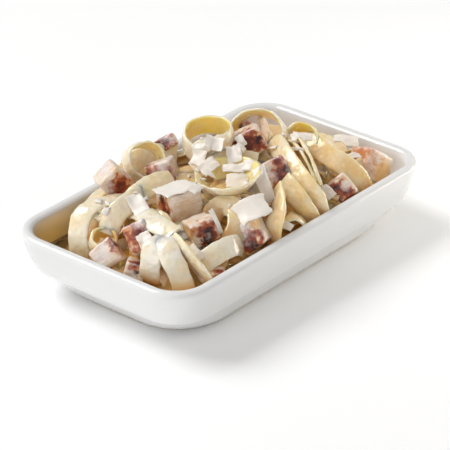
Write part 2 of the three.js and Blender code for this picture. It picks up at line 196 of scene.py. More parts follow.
def dish_ring(inset_x, inset_y, radius, height):
    """A level ring with round corners, counterclockwise as seen from above."""
    points = []
    for quarter, (side_x, side_y) in enumerate([(1, 1), (-1, 1), (-1, -1), (1, -1)]):
        corner_x = side_x * (DISH_HALF_LENGTH - inset_x - radius)
        corner_y = side_y * (DISH_HALF_WIDTH - inset_y - radius)
        for step in range(CORNER_STEPS + 1):
            angle = math.pi / 2 * (quarter + step / CORNER_STEPS)
            points.append((corner_x + radius * math.cos(angle),
                           corner_y + radius * math.sin(angle), height))
    return points


def through(rows, splits):
    """Rows of numbers with smooth in-between rows, on a curve that passes through each."""
    rows = np.array(rows, float)
    padded = np.vstack([2 * rows[0] - rows[1], rows, 2 * rows[-1] - rows[-2]])
    gaps = np.linalg.norm(np.diff(padded, axis=0), axis=1) ** 0.5
    smooth = []
    for k in range(len(rows) - 1):
        before, start, end, after = padded[k:k + 4]
        gap_before, gap, gap_after = gaps[k:k + 3]
        leave = gap * ((start - before) / gap_before
                       - (end - before) / (gap_before + gap)) + end - start
        arrive = gap * ((after - end) / gap_after
                        - (after - start) / (gap + gap_after)) + end - start
        for t in np.arange(splits) / splits:
            smooth.append(start * (1 - 3 * t**2 + 2 * t**3) + leave * (t - 2 * t**2 + t**3)
                          + end * (3 * t**2 - 2 * t**3) + arrive * (t**3 - t**2))
    smooth.append(rows[-1])
    return smooth


def loft(rings):
    """Points and faces of a skin through rings, each end closed by a fan."""
    count = len(rings[0])
    points = [tuple(point) for ring in rings for point in ring]
    faces = []
    for r in range(len(rings) - 1):
        for i in range(count):
            a, b = r * count + i, r * count + (i + 1) % count
            faces.append((a, b, b + count, a + count))
    for first, flip in ((0, True), ((len(rings) - 1) * count, False)):
        middle = len(points)
        points.append(tuple(np.mean(points[first:first + count], axis=0)))
        for i in range(count):
            a, b = first + i, first + (i + 1) % count
            faces.append((b, a, middle) if flip else (a, b, middle))
    return points, faces


def give(mesh, name, values):
    """Stores a number or a vector for each point of a mesh."""
    values = np.array(values, float)
    kind, slot = ("FLOAT", "value") if values.ndim == 1 else ("FLOAT_VECTOR", "vector")
    mesh.attributes.new(name, kind, "POINT").data.foreach_set(slot, values.ravel())


glazed_porcelain, tree = finish_named("clear glazed porcelain")
place = add(tree, "ShaderNodeTexCoord")
height = add(tree, "ShaderNodeSeparateXYZ", {"Vector": place.outputs["Object"]})
# The glaze is wiped off up to about 0.8 mm above the foot.
wiped = add(tree, "ShaderNodeMapRange", {
    "Value": height.outputs["Z"], "From Min": 0.5 * MM, "From Max": 1.1 * MM,
    "To Min": 1.0, "To Max": 0.0})
# Slow unevenness of a poured glaze, about 30 mm from crest to crest.
flow = add(tree, "ShaderNodeTexNoise", {
    "Vector": place.outputs["Object"], "Scale": 1 / (30 * MM), "Detail": 1.0})
# The outside's glaze is painted a light grey instead of white: painted shade.
tint = add(tree, "ShaderNodeMix", {
    "Factor": flow, "A": "#e4e4e3", "B": "#e8e8e7"}, data_type="RGBA")
body = add(tree, "ShaderNodeMix", {"Factor": wiped, "A": tint, "B": "#ded8cc"}, data_type="RGBA")
inside = add(tree, "ShaderNodeAttribute", attribute_name="inside").outputs["Fac"]
# The inside is painted whiter than the outside: painted light.
painted_light_inside = add(tree, "ShaderNodeMix", {
    "Factor": inside, "A": body, "B": "#f7f7f6"}, data_type="RGBA")
# Painted warm bounce light from the noodles: the wall inside is painted yellow, most at
# the left end where the noodles leave the wall bare.
painted_bounce_towards_left_end = add(tree, "ShaderNodeMapRange", {
    "Value": height.outputs["X"], "From Min": 20 * MM, "From Max": -60 * MM,
    "To Min": 0.08, "To Max": 1.0})
film = add(tree, "ShaderNodeMath", {0: inside, 1: painted_bounce_towards_left_end}, operation="MULTIPLY")
wall_with_painted_bounce = add(tree, "ShaderNodeMix", {
    "Factor": film, "A": painted_light_inside, "B": "#fbe496"}, data_type="RGBA")
gloss = add(tree, "ShaderNodeMapRange", {"Value": wiped, "To Min": 0.09, "To Max": 0.65})
relief = add(tree, "ShaderNodeBump", {"Strength": 0.25, "Distance": 0.6 * MM, "Height": flow})
shader = add(tree, "ShaderNodeBsdfPrincipled", {
    "Base Color": wall_with_painted_bounce, "Roughness": gloss, "IOR": 1.52, "Normal": relief})
add(tree, "ShaderNodeOutputMaterial", {"Surface": shader})

outside_rows = through(UNDERSIDE_TO_RIM, ROW_SPLITS)[:-1]
cavity_rows = through([UNDERSIDE_TO_RIM[-1]] + CAVITY, ROW_SPLITS)
dish_rings = [dish_ring(inset_x, inset_y, radius, max(height, 0))
              for inset_x, inset_y, radius, height in outside_rows + cavity_rows]
dish = mesh_object("porcelain_dish", *loft(dish_rings), glazed_porcelain)
inside_share = [0.0] * len(outside_rows) + [
    min(k / FADE_ROWS, 1.0) for k in range(len(cavity_rows))]
# The last two points close the underside and the cavity's floor.
give(dish.data, "inside", np.repeat(inside_share, len(dish_rings[0])).tolist() + [0.0, 1.0])
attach(dish, "root")
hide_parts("dish")

# ---------------------------------------------------------------------------------------
# Inside of the heap. Packed noodles and cream sauce that only show as a dark ochre ground
# in the gaps between the noodles on top, the ochre darkened as painted shade of the gaps.

HEAP_EDGE = 22
HEAP_RISE = 20
HEAP_HALF_LENGTH = 80
HEAP_HALF_WIDTH = 47
# How square the dome is along X and Y, and how soon it rises from its edge.
SQUARE_X, SQUARE_Y, SHOULDER = 3.2, 3, 0.7
# Where the heap is low: middle, how far it drops, and how wide, in square millimetres.
FREE_CORNER, FREE_CORNER_DROP, FREE_CORNER_SPREAD = (-80, 46), 20, 520
RIGHT_END, RIGHT_END_DROP, RIGHT_END_SPREAD = (80, 20), 8, (400, 1600)
# The core: how far it lies below the heap's top, clear of the wall and in from the rim.
CORE_DEPTH = 7
CORE_CLEARANCE = 0.4
CORE_INSET = CAVITY[0][0] + 1.4
CORE_CORNER = 13
CORE_SCALES = (0.985, 0.93, 0.86, 0.77, 0.66, 0.54, 0.42, 0.28, 0.14)


def heap_top(x, y):
    """Height of the bare heap, low at the free far left corner and at the right end."""
    along_x = np.minimum(np.abs(x) / HEAP_HALF_LENGTH, 1)
    along_y = np.minimum(np.abs(y) / HEAP_HALF_WIDTH, 1)
    dome = ((1 - along_x**SQUARE_X) * (1 - along_y**SQUARE_Y)) ** SHOULDER
    free_corner = FREE_CORNER_DROP * np.exp(
        -((x - FREE_CORNER[0]) ** 2 + (y - FREE_CORNER[1]) ** 2) / FREE_CORNER_SPREAD)
    right_end = RIGHT_END_DROP * np.exp(-((x - RIGHT_END[0]) ** 2 / RIGHT_END_SPREAD[0]
                                          + (y - RIGHT_END[1]) ** 2 / RIGHT_END_SPREAD[1]))
    return HEAP_EDGE + HEAP_RISE * dome - free_corner - right_end


def wall_gap(x, y, z):
    """How far a place is from the cavity's wall at its height, below zero in the wall."""
    inset_x, inset_y, radius, height = np.array(CAVITY[::-1]).T
    corner = np.interp(z, height, radius)
    beyond_x = np.abs(x) - (DISH_HALF_LENGTH - np.interp(z, height, inset_x) - corner)
    beyond_y = np.abs(y) - (DISH_HALF_WIDTH - np.interp(z, height, inset_y) - corner)
    outside = np.hypot(np.maximum(beyond_x, 0), np.maximum(beyond_y, 0))
    return corner - outside - np.minimum(np.maximum(beyond_x, beyond_y), 0)


def inner_ring(scale):
    """A ring of the core's top, drawn in from the cavity's wall and clear of it."""
    heights = np.arange(FLOOR_TOP + 0.5, RIM_TOP, 0.25)
    ring = []
    for x, y, _ in dish_ring(CORE_INSET, CORE_INSET, CORE_CORNER, 0):
        x, y = x * scale, y * scale
        clear = heights[wall_gap(x, y, heights) > CORE_CLEARANCE]
        ring.append((x, y, max(float(heap_top(x, y)) - CORE_DEPTH, clear[0])))
    return ring


sauce_with_painted_gap_shade, tree = finish_named("cream sauce deep in the heap")
place = add(tree, "ShaderNodeTexCoord")
patches = add(tree, "ShaderNodeTexNoise", {
    "Vector": place.outputs["Object"], "Scale": 1 / (6 * MM), "Detail": 3.0})
# Ochre sauce colour, darkened towards brown as painted shade in the gaps.
colour = add(tree, "ShaderNodeMix", {
    "Factor": patches, "A": "#a06f30", "B": "#d3a964"}, data_type="RGBA")
relief = add(tree, "ShaderNodeBump", {"Strength": 0.6, "Distance": 1.2 * MM, "Height": patches})
shader = add(tree, "ShaderNodeBsdfPrincipled", {
    "Base Color": colour, "Roughness": 0.35, "Normal": relief, "IOR": 1.4})
add(tree, "ShaderNodeOutputMaterial", {"Surface": shader})

core_rings = [
    dish_ring(inset_x + CORE_CLEARANCE, inset_y + CORE_CLEARANCE, radius, height + CORE_CLEARANCE)
    for inset_x, inset_y, radius, height in reversed(CAVITY[2:])]
core_rings += [inner_ring(scale) for scale in CORE_SCALES]
core = mesh_object("packed_noodles", *loft(core_rings), sauce_with_painted_gap_shade)
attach(core, "root")

# ---------------------------------------------------------------------------------------
# Fettuccine. Egg pasta rolled and cut into flat ribbons, boiled until it swells and slips,
# and tossed in cream sauce. The sauce clings to the outer faces; the faces inside a loop
# have little of it and stay yellow.

RIBBON_WIDTH = 9.5
# The room that a ribbon takes up in the heap, and its own thickness without the sauce.
RIBBON_THICKNESS = 1.9
BARE_THICKNESS = 1.65
SAMPLE_STEP = 1.6
KNOT_SPLITS = 12

# Ribbons in sight, each by the knots of its centre line in millimetres. One that arches
# or coils keeps its width along an axis; one that lies flat turns its face to a direction.
# Both are given as (heading, pitch) in degrees, and a second pair holds at the far end.
# Sauce is the cover on the outer face and on the inner face, the next number is how far
# the ribbon is painted darker ochre as painted shade, and bank rolls it about its line, in
# degrees.
Ribbon = namedtuple("Ribbon", "knots lie ends sauce stain bank", defaults=(0.0, 0))
RIBBONS = [
    # Left end: the arch, the broad ribbon in front of it and the small loop.
    Ribbon([(-71, 20, 14), (-73, 18, 24), (-72, 19, 35), (-66, 20, 42), (-56, 18, 43),
            (-45, 16, 41), (-35, 13, 36)], "axis", [(-70, 0), (-92, 0)], (0.85, 0.3)),
    Ribbon([(-34, 9, 41), (-46, 8, 44), (-56, 8, 43), (-61, 9, 39), (-63, 10, 33)], "face",
            [(-138, 40), (-138, 15)], (0.75, 0.3)),
    Ribbon([(-64, 5, 28), (-62, 7, 30), (-61, 11, 32), (-64, 14, 33), (-68, 15, 32),
            (-71, 13, 30), (-71, 9, 28)], "axis", [(-120, 55)], (0.6, 0.1)),
    # Standing loops along the far side.
    Ribbon([(-20, 21, 40), (-15, 22, 43), (-13, 26, 48), (-16, 30, 51), (-20, 32, 51),
            (-25, 33, 50), (-28, 31, 46), (-28, 29, 42), (-26, 26, 39)], "axis", [(-108, 38)],
            (0.9, 0.35)),
    Ribbon([(-3, 3, 53), (5, 1, 53), (11, 4, 54), (14, 11, 54), (11, 18, 54), (4, 22, 53),
            (-2, 20, 51), (-6, 14, 49), (-5, 7, 47), (-1, 2, 44)], "axis", [(-138, 80)],
            (0.95, 0.15)),
    Ribbon([(22, 15, 44), (27, 16, 48), (32, 14, 51), (36, 8, 53), (38, 1, 52), (36, -6, 48),
            (31, -10, 44), (28, -12, 40)], "axis", [(-160, 50)], (0.8, 0.3)),
    Ribbon([(33, -8, 42), (37, -5, 44), (42, -5, 46), (45, -8, 47), (47, -13, 45), (45, -17, 43),
            (42, -19, 41)], "axis", [(-138, 60)], (0.6, 0.05)),
    # Ribbons that sweep down to the near side at the right.
    Ribbon([(44, -10, 42), (41, -16, 44), (40, -21, 43), (40, -28, 41), (42, -35, 38),
            (45, -40, 32), (47, -42, 25)], "face", [(-145, 40), (-130, 30)],
            (0.45, 0.3), stain=0.12),
    Ribbon([(27, -6, 46.5), (24, -11, 47.5), (19.5, -18, 47.5), (16.5, -24, 46), (13.5, -31, 44),
            (12, -37, 41), (13, -41.5, 36), (16, -43, 27)], "face", [(-190, 45), (-170, 30)],
            (0.45, 0.3), stain=0.25),
    Ribbon([(8, -28, 42), (6.5, -33, 40.5), (6, -37, 38), (7, -41, 33), (10, -43, 26)], "face",
            [(-175, 25), (-160, 10)], (0.45, 0.3), stain=0.18),
    Ribbon([(-7, -38, 30), (-2, -41, 33), (3, -43, 29), (5, -44, 24)], "axis", [(-138, 10)],
            (0.4, 0.2)),
    Ribbon([(0, -31, 42), (-5, -36, 41), (-10, -40, 38), (-14, -41, 34), (-16, -42, 25)], "face",
            [(-185, 12)], (0.5, 0.3), stain=0.3),
    Ribbon([(37, -12, 45), (33, -18, 46), (29, -26, 43), (26, -31, 40), (23, -37, 35)], "axis",
            [(-138, 45)], (0.75, 0.55), stain=0.05),
    Ribbon([(34, -11, 43), (31, -17, 44), (28, -23, 43), (25, -29, 40), (22, -35, 36)], "axis",
            [(-138, 45)], (0.75, 0.55), stain=0.05),
    # Near left corner: the ribbon with the cut end, the loop under it, the folded ribbon,
    # the one at its right and the one at the rim.
    Ribbon([(-50, 3, 40), (-54, -4, 43), (-58, -14, 44), (-59, -24, 42.5)], "face", [(-138, 58)],
            (0.95, 0.4)),
    Ribbon([(-63, -22, 41), (-68, -21, 40), (-71, -22, 36), (-72, -22, 30), (-71, -21, 25),
            (-68, -20, 22), (-64, -19, 22)], "axis", [(-75, -5)], (0.95, 0.1)),
    Ribbon([(-60, -20, 41), (-65, -26, 41.5), (-68, -31, 38), (-68, -34, 33), (-67, -36, 26),
            (-66, -37, 20)], "face", [(-132, 25), (-132, 5)], (0.9, 0.4)),
    Ribbon([(-61, -26, 41), (-62, -33, 39), (-61, -38, 34), (-58, -41, 27), (-55, -41, 20)],
            "axis", [(-100, 8)], (0.8, 0.1)),
    Ribbon([(-58, -34, 28), (-52, -38, 33), (-45, -40, 35), (-38, -40, 34), (-32, -38, 30)],
            "face", [(-132, 38)], (0.8, 0.3)),
    # Centre: the open curl and the ribbons in its mouth.
    Ribbon([(-19, -5, 46), (-25, -11, 46), (-24, -20, 46), (-17, -26, 47), (-8, -25, 48),
            (-2, -18, 48), (-3, -9, 47), (-10, -3, 46)], "axis", [(0, 90)], (0.8, 0.2), bank=40),
    Ribbon([(-33, -21, 37), (-27, -22, 42), (-25, -29, 42), (-29, -34, 38), (-36, -35, 32)],
            "face", [(-120, 35)], (0.4, 0.3), stain=0.55),
    Ribbon([(-10, -4, 40), (-11, -12, 42), (-15, -18, 41), (-22, -22, 38)], "face", [(-100, 50)],
            (0.3, 0.2), stain=0.5),
    # Between the cubes of the middle.
    Ribbon([(-52, 12, 38), (-44, 10, 44), (-34, 9, 46), (-24, 8, 44)], "face", [(-110, 55)],
            (0.6, 0.3)),
    Ribbon([(-55, -3, 38), (-53, -10, 42), (-56, -16, 40)], "face", [(-150, 50)], (0.6, 0.3)),
    Ribbon([(-12, 6, 44), (-4, 2, 48), (5, -3, 47), (12, -10, 44)], "face", [(-120, 60)],
            (0.5, 0.2)),
    Ribbon([(58, 6, 31), (62, -3, 32), (61, -12, 33), (57, -20, 32)], "face", [(-160, 60)],
            (0.5, 0.3)),
    Ribbon([(54, 22, 32), (60, 13, 31), (67, 3, 27), (71, -8, 23)], "face", [(-120, 60)],
            (0.4, 0.3)),
]


def direction(heading, pitch):
    """Unit vector from a compass heading (0 along +X, 90 along +Y) and a pitch above level."""
    level = math.cos(math.radians(pitch))
    return np.array([level * math.cos(math.radians(heading)),
                     level * math.sin(math.radians(heading)), math.sin(math.radians(pitch))])


def even_steps(points, step):
    """Points at even steps along a polyline."""
    points = np.array(points)
    travelled = np.concatenate([[0], np.cumsum(np.linalg.norm(np.diff(points, axis=0), axis=1))])
    count = max(4, round(travelled[-1] / step))
    at = np.linspace(0, travelled[-1], count + 1)
    return np.stack([np.interp(at, travelled, points[:, axis]) for axis in range(3)], axis=1)


def unit(vectors):
    """Each vector at length one."""
    return vectors / np.maximum(np.linalg.norm(vectors, axis=-1, keepdims=True), 1e-9)


Guide = namedtuple("Guide", "line across outward sauce tone stain")
# A ribbon's outer face is the one that bulges, or looks up: a face that looks straight up
# counts as much as one that bulges by this many millimetres.
UPWARD_WEIGHT = 3


def square_to(across, tangent):
    """The part of each direction that stands square to the line, at length one."""
    return unit(across - tangent * np.sum(across * tangent, axis=1, keepdims=True))


def guide(line, tangent, across, sauce, tone, stain=0.0):
    """What the sweep needs along one ribbon: its line, the way its width points, the way
    its outer face points, and its sauce, tone and painted shade."""
    across = square_to(across, tangent)
    outward = np.cross(tangent, across)
    bulge = np.mean(np.sum(outward * (line - line.mean(axis=0)), axis=1))
    if bulge + UPWARD_WEIGHT * np.mean(outward[:, 2]) < 0:
        across, outward = -across, -outward
    return Guide(line, across, outward, sauce, tone, stain)


def shown_guide(ribbon, tone):
    """The guide of a ribbon that is placed by its knots."""
    line = even_steps(through(ribbon.knots, KNOT_SPLITS), SAMPLE_STEP)
    tangent = unit(np.gradient(line, axis=0))
    ends = [direction(*pair) for pair in ribbon.ends]
    along = np.linspace(0, 1, len(line))[:, None]
    pointing = ends[0] * (1 - along) + ends[-1] * along
    across = pointing if ribbon.lie == "axis" else np.cross(pointing, tangent)
    across = square_to(across, tangent)
    bank = math.radians(ribbon.bank)
    across = across * math.cos(bank) + np.cross(tangent, across) * math.sin(bank)
    return guide(line, tangent, across, ribbon.sauce, tone, ribbon.stain)


draw = np.random.default_rng(11)
guides = [shown_guide(ribbon, draw.uniform()) for ribbon in RIBBONS]

# The rest of the heap is laid ribbon by ribbon, as when it was served: each takes a
# wandering path and is set on a height map of what lies there already. It sinks past the
# highest part of that, droops at its ends and is pushed below the ribbons in sight, so laid
# ribbons also cut through one another, most of them inside the heap.
CELL = 1.0
REACH_X = 74
REACH_Y = 40.5
BED_DEPTH = 8.5
LAID_RIBBONS = 150
TRIES = 4000
# A path: its step, fewest and most steps drawn, fewest kept, and its bend and how the bend
# wanders, in radians a step.
LAID_STEP = SAMPLE_STEP * 1.25
STEPS_DRAWN = (24, 52)
FEWEST_STEPS = 12
BEND = 0.045
BEND_WANDER = 0.012
# Cells that a ribbon covers to each side of its line, and the share of what lies there
# that it rests above, in percent.
COVERED = 4
RESTS_ABOVE = 80
# How far a ribbon may stand above the bare heap, on average and at most.
PROUD_ON_AVERAGE = -0.5
PROUD_AT_MOST = 2.5
# Room to the dish's wall as the ribbon is laid and after it has settled, and to the floor.
WALL_GAP = 4.2
SETTLED_WALL_GAP = 2.6
FLOOR_GAP = 3
# How far the cut ends droop, and over how many steps.
END_DROOP = 3.5
END_STEPS = 2.0
# How far a ribbon is rolled about its line, and how far that swings along it, in degrees.
ROLL_SPREAD = 14
ROLL_SWING = 16
grid_x = np.arange(-82, 83, CELL)
grid_y = np.arange(-50, 51, CELL)
bed = heap_top(*np.meshgrid(grid_x, grid_y, indexing="ij")) - BED_DEPTH


def cell_of(x, y):
    """The cell of the height map that a place is in."""
    return int(round((x - grid_x[0]) / CELL)), int(round((y - grid_y[0]) / CELL))


def bed_window(x, y, reach):
    """The cells of the bed within a reach of a place."""
    i, j = cell_of(x, y)
    return (slice(max(i - reach, 0), i + reach + 1), slice(max(j - reach, 0), j + reach + 1))


# The underside of the ribbons in sight, which the laid ones stay below.
ceiling = np.full(bed.shape, np.inf)
for shown in guides:
    for middle, across in zip(shown.line, shown.across):
        for share in np.linspace(-0.5, 0.5, 7):
            x, y, z = middle + across * share * RIBBON_WIDTH
            i, j = cell_of(x, y)
            if 0 < i < len(grid_x) - 1 and 0 < j < len(grid_y) - 1:
                cells = bed_window(x, y, 1)
                ceiling[cells] = np.minimum(ceiling[cells], z - RIBBON_THICKNESS)


def wandering_path():
    """A path over the heap that bends a little more or less at each step."""
    x, y = draw.uniform(-REACH_X, REACH_X), draw.uniform(-REACH_Y, REACH_Y)
    heading, bend = draw.uniform(0, 2 * math.pi), draw.normal(0, BEND)
    path = []
    for _ in range(int(draw.uniform(*STEPS_DRAWN))):
        path.append((x, y))
        heading += bend
        bend += draw.normal(0, BEND_WANDER)
        x += LAID_STEP * math.cos(heading)
        y += LAID_STEP * math.sin(heading)
        if abs(x) > REACH_X or abs(y) > REACH_Y:
            break
    return path


def laid_guide():
    """One ribbon that wanders over the bed, or None where it would stand too proud or come
    too near to the dish."""
    path = wandering_path()
    if len(path) < FEWEST_STEPS:
        return None
    path = np.array(path)
    rest = np.array([np.percentile(bed[bed_window(px, py, COVERED)], RESTS_ABOVE)
                     for px, py in path])
    carried = np.array([rest[max(k - 2, 0):k + 3].max() for k in range(len(rest))])
    weights = np.hanning(9)[1:-1]
    weights /= weights.sum()
    lifted = np.convolve(np.pad(carried, 3, mode="edge"), weights, mode="valid")
    lifted += RIBBON_THICKNESS / 2
    proud = lifted - heap_top(path[:, 0], path[:, 1])
    if np.mean(proud) > PROUD_ON_AVERAGE or np.max(proud) > PROUD_AT_MOST:
        return None
    if np.min(wall_gap(path[:, 0], path[:, 1], lifted - 1)) < WALL_GAP:
        return None
    from_end = np.minimum(np.arange(len(path)), np.arange(len(path))[::-1])
    lifted -= END_DROOP * np.exp(-from_end / END_STEPS)
    above = np.array([ceiling[bed_window(px, py, 5)].min() for px, py in path])
    above = np.array([above[max(k - 1, 0):k + 2].min() for k in range(len(above))])
    lifted = np.minimum(lifted, above - RIBBON_THICKNESS / 2)
    lifted = np.convolve(np.pad(lifted, 2, mode="edge"), np.ones(5) / 5, mode="valid")
    if np.min(wall_gap(path[:, 0], path[:, 1], lifted - 2)) < SETTLED_WALL_GAP:
        return None
    if np.min(lifted) < FLOOR_TOP + FLOOR_GAP:
        return None
    line = np.column_stack([path, lifted])
    tangent = unit(np.gradient(line, axis=0))
    slope_x = heap_top(path[:, 0] + 2, path[:, 1]) - heap_top(path[:, 0] - 2, path[:, 1])
    slope_y = heap_top(path[:, 0], path[:, 1] + 2) - heap_top(path[:, 0], path[:, 1] - 2)
    facing = unit(np.column_stack([-slope_x / 4, -slope_y / 4, np.ones(len(path))]))
    across = unit(np.cross(facing, tangent))
    roll = draw.normal(0, ROLL_SPREAD)
    swing = np.sin(np.linspace(0, draw.uniform(1, 5), len(path)) + draw.uniform(0, 6))
    bank = np.radians(roll + ROLL_SWING * swing)[:, None]
    across = across * np.cos(bank) + np.cross(tangent, across) * np.sin(bank)
    for px, py, pz in line:
        cells = bed_window(px, py, COVERED)
        bed[cells] = np.maximum(bed[cells], pz + RIBBON_THICKNESS / 2)
    sauce = draw.uniform(0.35, 0.85), draw.uniform(0.1, 0.4)
    return guide(line, tangent, across, sauce, draw.uniform())


for _ in range(TRIES):
    found = laid_guide()
    if found:
        guides.append(found)
    if len(guides) == len(RIBBONS) + LAID_RIBBONS:
        break

# Ribbons that close the view behind the standing loops.
BEHIND = [
    Ribbon([(-27, 37, 36), (-19, 36, 41), (-10, 33, 42.5), (0, 27, 40)], "face", [(-138, 30)],
            (0.75, 0.3)),
    Ribbon([(-22, 33, 33), (-15, 36, 37), (-6, 38, 37), (3, 39, 33)], "face", [(-138, 40)],
            (0.5, 0.3), stain=0.3),
]
guides += [shown_guide(ribbon, 0.5) for ribbon in BEHIND]

# Painted shade turns a ribbon ochre from this far below the bare heap's top, fully so much
# deeper.
PAINTED_SHADE_FROM = 0.5
PAINTED_SHADE_OVER = 7


def guide_object(guides):
    """All centre lines as one mesh of edges, with what the sweep reads on its points."""
    points = np.vstack([g.line for g in guides])
    lengths = [len(g.line) for g in guides]
    edges, first = [], 0
    for length in lengths:
        edges += [(first + k, first + k + 1) for k in range(length - 1)]
        first += length
    mesh = bpy.data.meshes.new("centre_lines")
    mesh.from_pydata((points * MM).tolist(), edges, [])
    give(mesh, "across", np.vstack([g.across for g in guides]))
    give(mesh, "outward", np.vstack([g.outward for g in guides]))
    below_top = heap_top(points[:, 0], points[:, 1]) - PAINTED_SHADE_FROM - points[:, 2]
    stain = np.repeat([g.stain for g in guides], lengths)
    give(mesh, "painted_depth_shade", np.clip(below_top / PAINTED_SHADE_OVER + stain, 0, 1))
    give(mesh, "sauce_outer", np.repeat([g.sauce[0] for g in guides], lengths))
    give(mesh, "sauce_inner", np.repeat([g.sauce[1] for g in guides], lengths))
    give(mesh, "tone", np.repeat([g.tone for g in guides], lengths))
    return linked("centre_lines", mesh)


SECTION_POINTS = 14
# How square the section's ends and faces are: 1 is an ellipse, 0 a rectangle.
SECTION_ENDS = 0.75
SECTION_FACES = 0.45
# The section is cupped: its edges lie a quarter of this, in thicknesses, below its middle,
# and the shift keeps it about its centre line.
CUP = 1.1
CUP_SHIFT = 0.12


def ribbon_section():
    """The flat, cupped section of a ribbon as a closed loop of edges, one unit wide and
    one unit thick."""
    points = []
    for k in range(SECTION_POINTS):
        angle = 2 * math.pi * (k + 0.5) / SECTION_POINTS
        c, s = math.cos(angle), math.sin(angle)
        x = 0.5 * math.copysign(abs(c) ** SECTION_ENDS, c)
        y = 0.5 * math.copysign(abs(s) ** SECTION_FACES, s) + CUP * (CUP_SHIFT - x * x)
        points.append((x, y, 0))
    mesh = bpy.data.meshes.new("ribbon_section")
    mesh.from_pydata(points, [(k, (k + 1) % SECTION_POINTS) for k in range(SECTION_POINTS)], [])
    return linked("ribbon_section", mesh)


def ribbon_sweep():
    """Node tree that sweeps the flat section along every centre line, and gives the skin
    the soft unevenness of clinging sauce."""
    tree = bpy.data.node_groups.new("ribbon_sweep", "GeometryNodeTree")
    sockets = tree.interface
    sockets.new_socket("Centre Lines", in_out="INPUT", socket_type="NodeSocketGeometry")
    sockets.new_socket("Section", in_out="INPUT", socket_type="NodeSocketObject")
    for name in ("Width", "Thickness", "Sauce Relief", "Sauce Lump Size"):
        sockets.new_socket(name, in_out="INPUT", socket_type="NodeSocketFloat")
    sockets.new_socket("Finish", in_out="INPUT", socket_type="NodeSocketMaterial")
    sockets.new_socket("Ribbons", in_out="OUTPUT", socket_type="NodeSocketGeometry")
    given = add(tree, "NodeGroupInput").outputs
    across = add(tree, "GeometryNodeInputNamedAttribute", {
        "Name": "across"}, data_type="FLOAT_VECTOR")
    lines = add(tree, "GeometryNodeMeshToCurve", {"Mesh": given["Centre Lines"]})
    turned = add(tree, "GeometryNodeSetCurveNormal", {
        "Curve": lines, "Normal": across}, mode="FREE")
    outline = add(tree, "GeometryNodeObjectInfo", {"Object": given["Section"]})
    size = add(tree, "ShaderNodeCombineXYZ", {
        "X": given["Width"], "Y": given["Thickness"], "Z": 1.0})
    sized = add(tree, "GeometryNodeTransform", {
        "Geometry": outline.outputs["Geometry"], "Scale": size})
    section = add(tree, "GeometryNodeMeshToCurve", {"Mesh": sized})
    swept = add(tree, "GeometryNodeCurveToMesh", {
        "Curve": turned, "Profile Curve": section, "Fill Caps": True})
    # How far each point of the skin faces out, for the finish to tell the two sides apart.
    outward = add(tree, "GeometryNodeInputNamedAttribute", {
        "Name": "outward"}, data_type="FLOAT_VECTOR")
    normal = add(tree, "GeometryNodeInputNormal")
    facing = add(tree, "ShaderNodeVectorMath", {0: normal, 1: outward}, operation="DOT_PRODUCT")
    faced = add(tree, "GeometryNodeStoreNamedAttribute", {
        "Geometry": swept, "Name": "outer", "Value": facing}, data_type="FLOAT", domain="POINT")
    frequency = add(tree, "ShaderNodeMath", {
        0: 1.0, 1: given["Sauce Lump Size"]}, operation="DIVIDE")
    lumps = add(tree, "ShaderNodeTexNoise", {"Scale": frequency, "Detail": 2.0})
    centred = add(tree, "ShaderNodeMath", {0: lumps, 1: 0.5}, operation="SUBTRACT")
    amount = add(tree, "ShaderNodeMath", {
        0: centred, 1: given["Sauce Relief"]}, operation="MULTIPLY")
    offset = add(tree, "ShaderNodeVectorMath", {0: normal, "Scale": amount}, operation="SCALE")
    uneven = add(tree, "GeometryNodeSetPosition", {"Geometry": faced, "Offset": offset})
    smooth = add(tree, "GeometryNodeSetShadeSmooth", {"Geometry": uneven})
    real = add(tree, "GeometryNodeRealizeInstances", {"Geometry": smooth})
    finished = add(tree, "GeometryNodeSetMaterial", {
        "Geometry": real, "Material": given["Finish"]})
    add(tree, "NodeGroupOutput", {"Ribbons": finished})
    return tree


def swept_mesh(name, source, tree, **values):
    """Runs a node tree on an object with its named inputs and keeps the result as a plain
    mesh object. The source object is removed."""
    modifier = source.modifiers.new(name, "NODES")
    modifier.node_group = tree
    for item in tree.interface.items_tree:
        if item.in_out == "INPUT" and item.name in values:
            modifier[item.identifier] = values[item.name]
    evaluated = source.evaluated_get(bpy.context.evaluated_depsgraph_get())
    mesh = bpy.data.meshes.new_from_object(evaluated)
    bpy.data.objects.remove(source)
    mesh.name = name
    return linked(name, mesh)


egg_pasta, tree = finish_named("boiled egg pasta in cream sauce")
place = add(tree, "ShaderNodeTexCoord")
outer, sauce_outer, sauce_inner, tone, painted_depth_shade = (
    add(tree, "ShaderNodeAttribute", attribute_name=name).outputs["Fac"]
    for name in ("outer", "sauce_outer", "sauce_inner", "tone", "painted_depth_shade"))
side_of = add(tree, "ShaderNodeMapRange", {
    "Value": outer, "From Min": -0.75, "From Max": -0.25})
cover = add(tree, "ShaderNodeMix", {"Factor": side_of, "A": sauce_inner, "B": sauce_outer})
# Sauce clings in patches of 7 mm that break up down to about 1 mm.
patches = add(tree, "ShaderNodeTexNoise", {
    "Vector": place.outputs["Object"], "Scale": 1 / (7 * MM), "Detail": 3.0, "Roughness": 0.55})
patch_swing = add(tree, "ShaderNodeMapRange", {
    "Value": patches, "From Min": 0.3, "From Max": 0.7, "To Min": -0.26, "To Max": 0.26})
clinging = add(tree, "ShaderNodeMath", {
    0: cover, 1: patch_swing}, operation="ADD", use_clamp=True)
bare = add(tree, "ShaderNodeMix", {
    "Factor": tone, "A": "#f0c874", "B": "#f3d28c"}, data_type="RGBA")
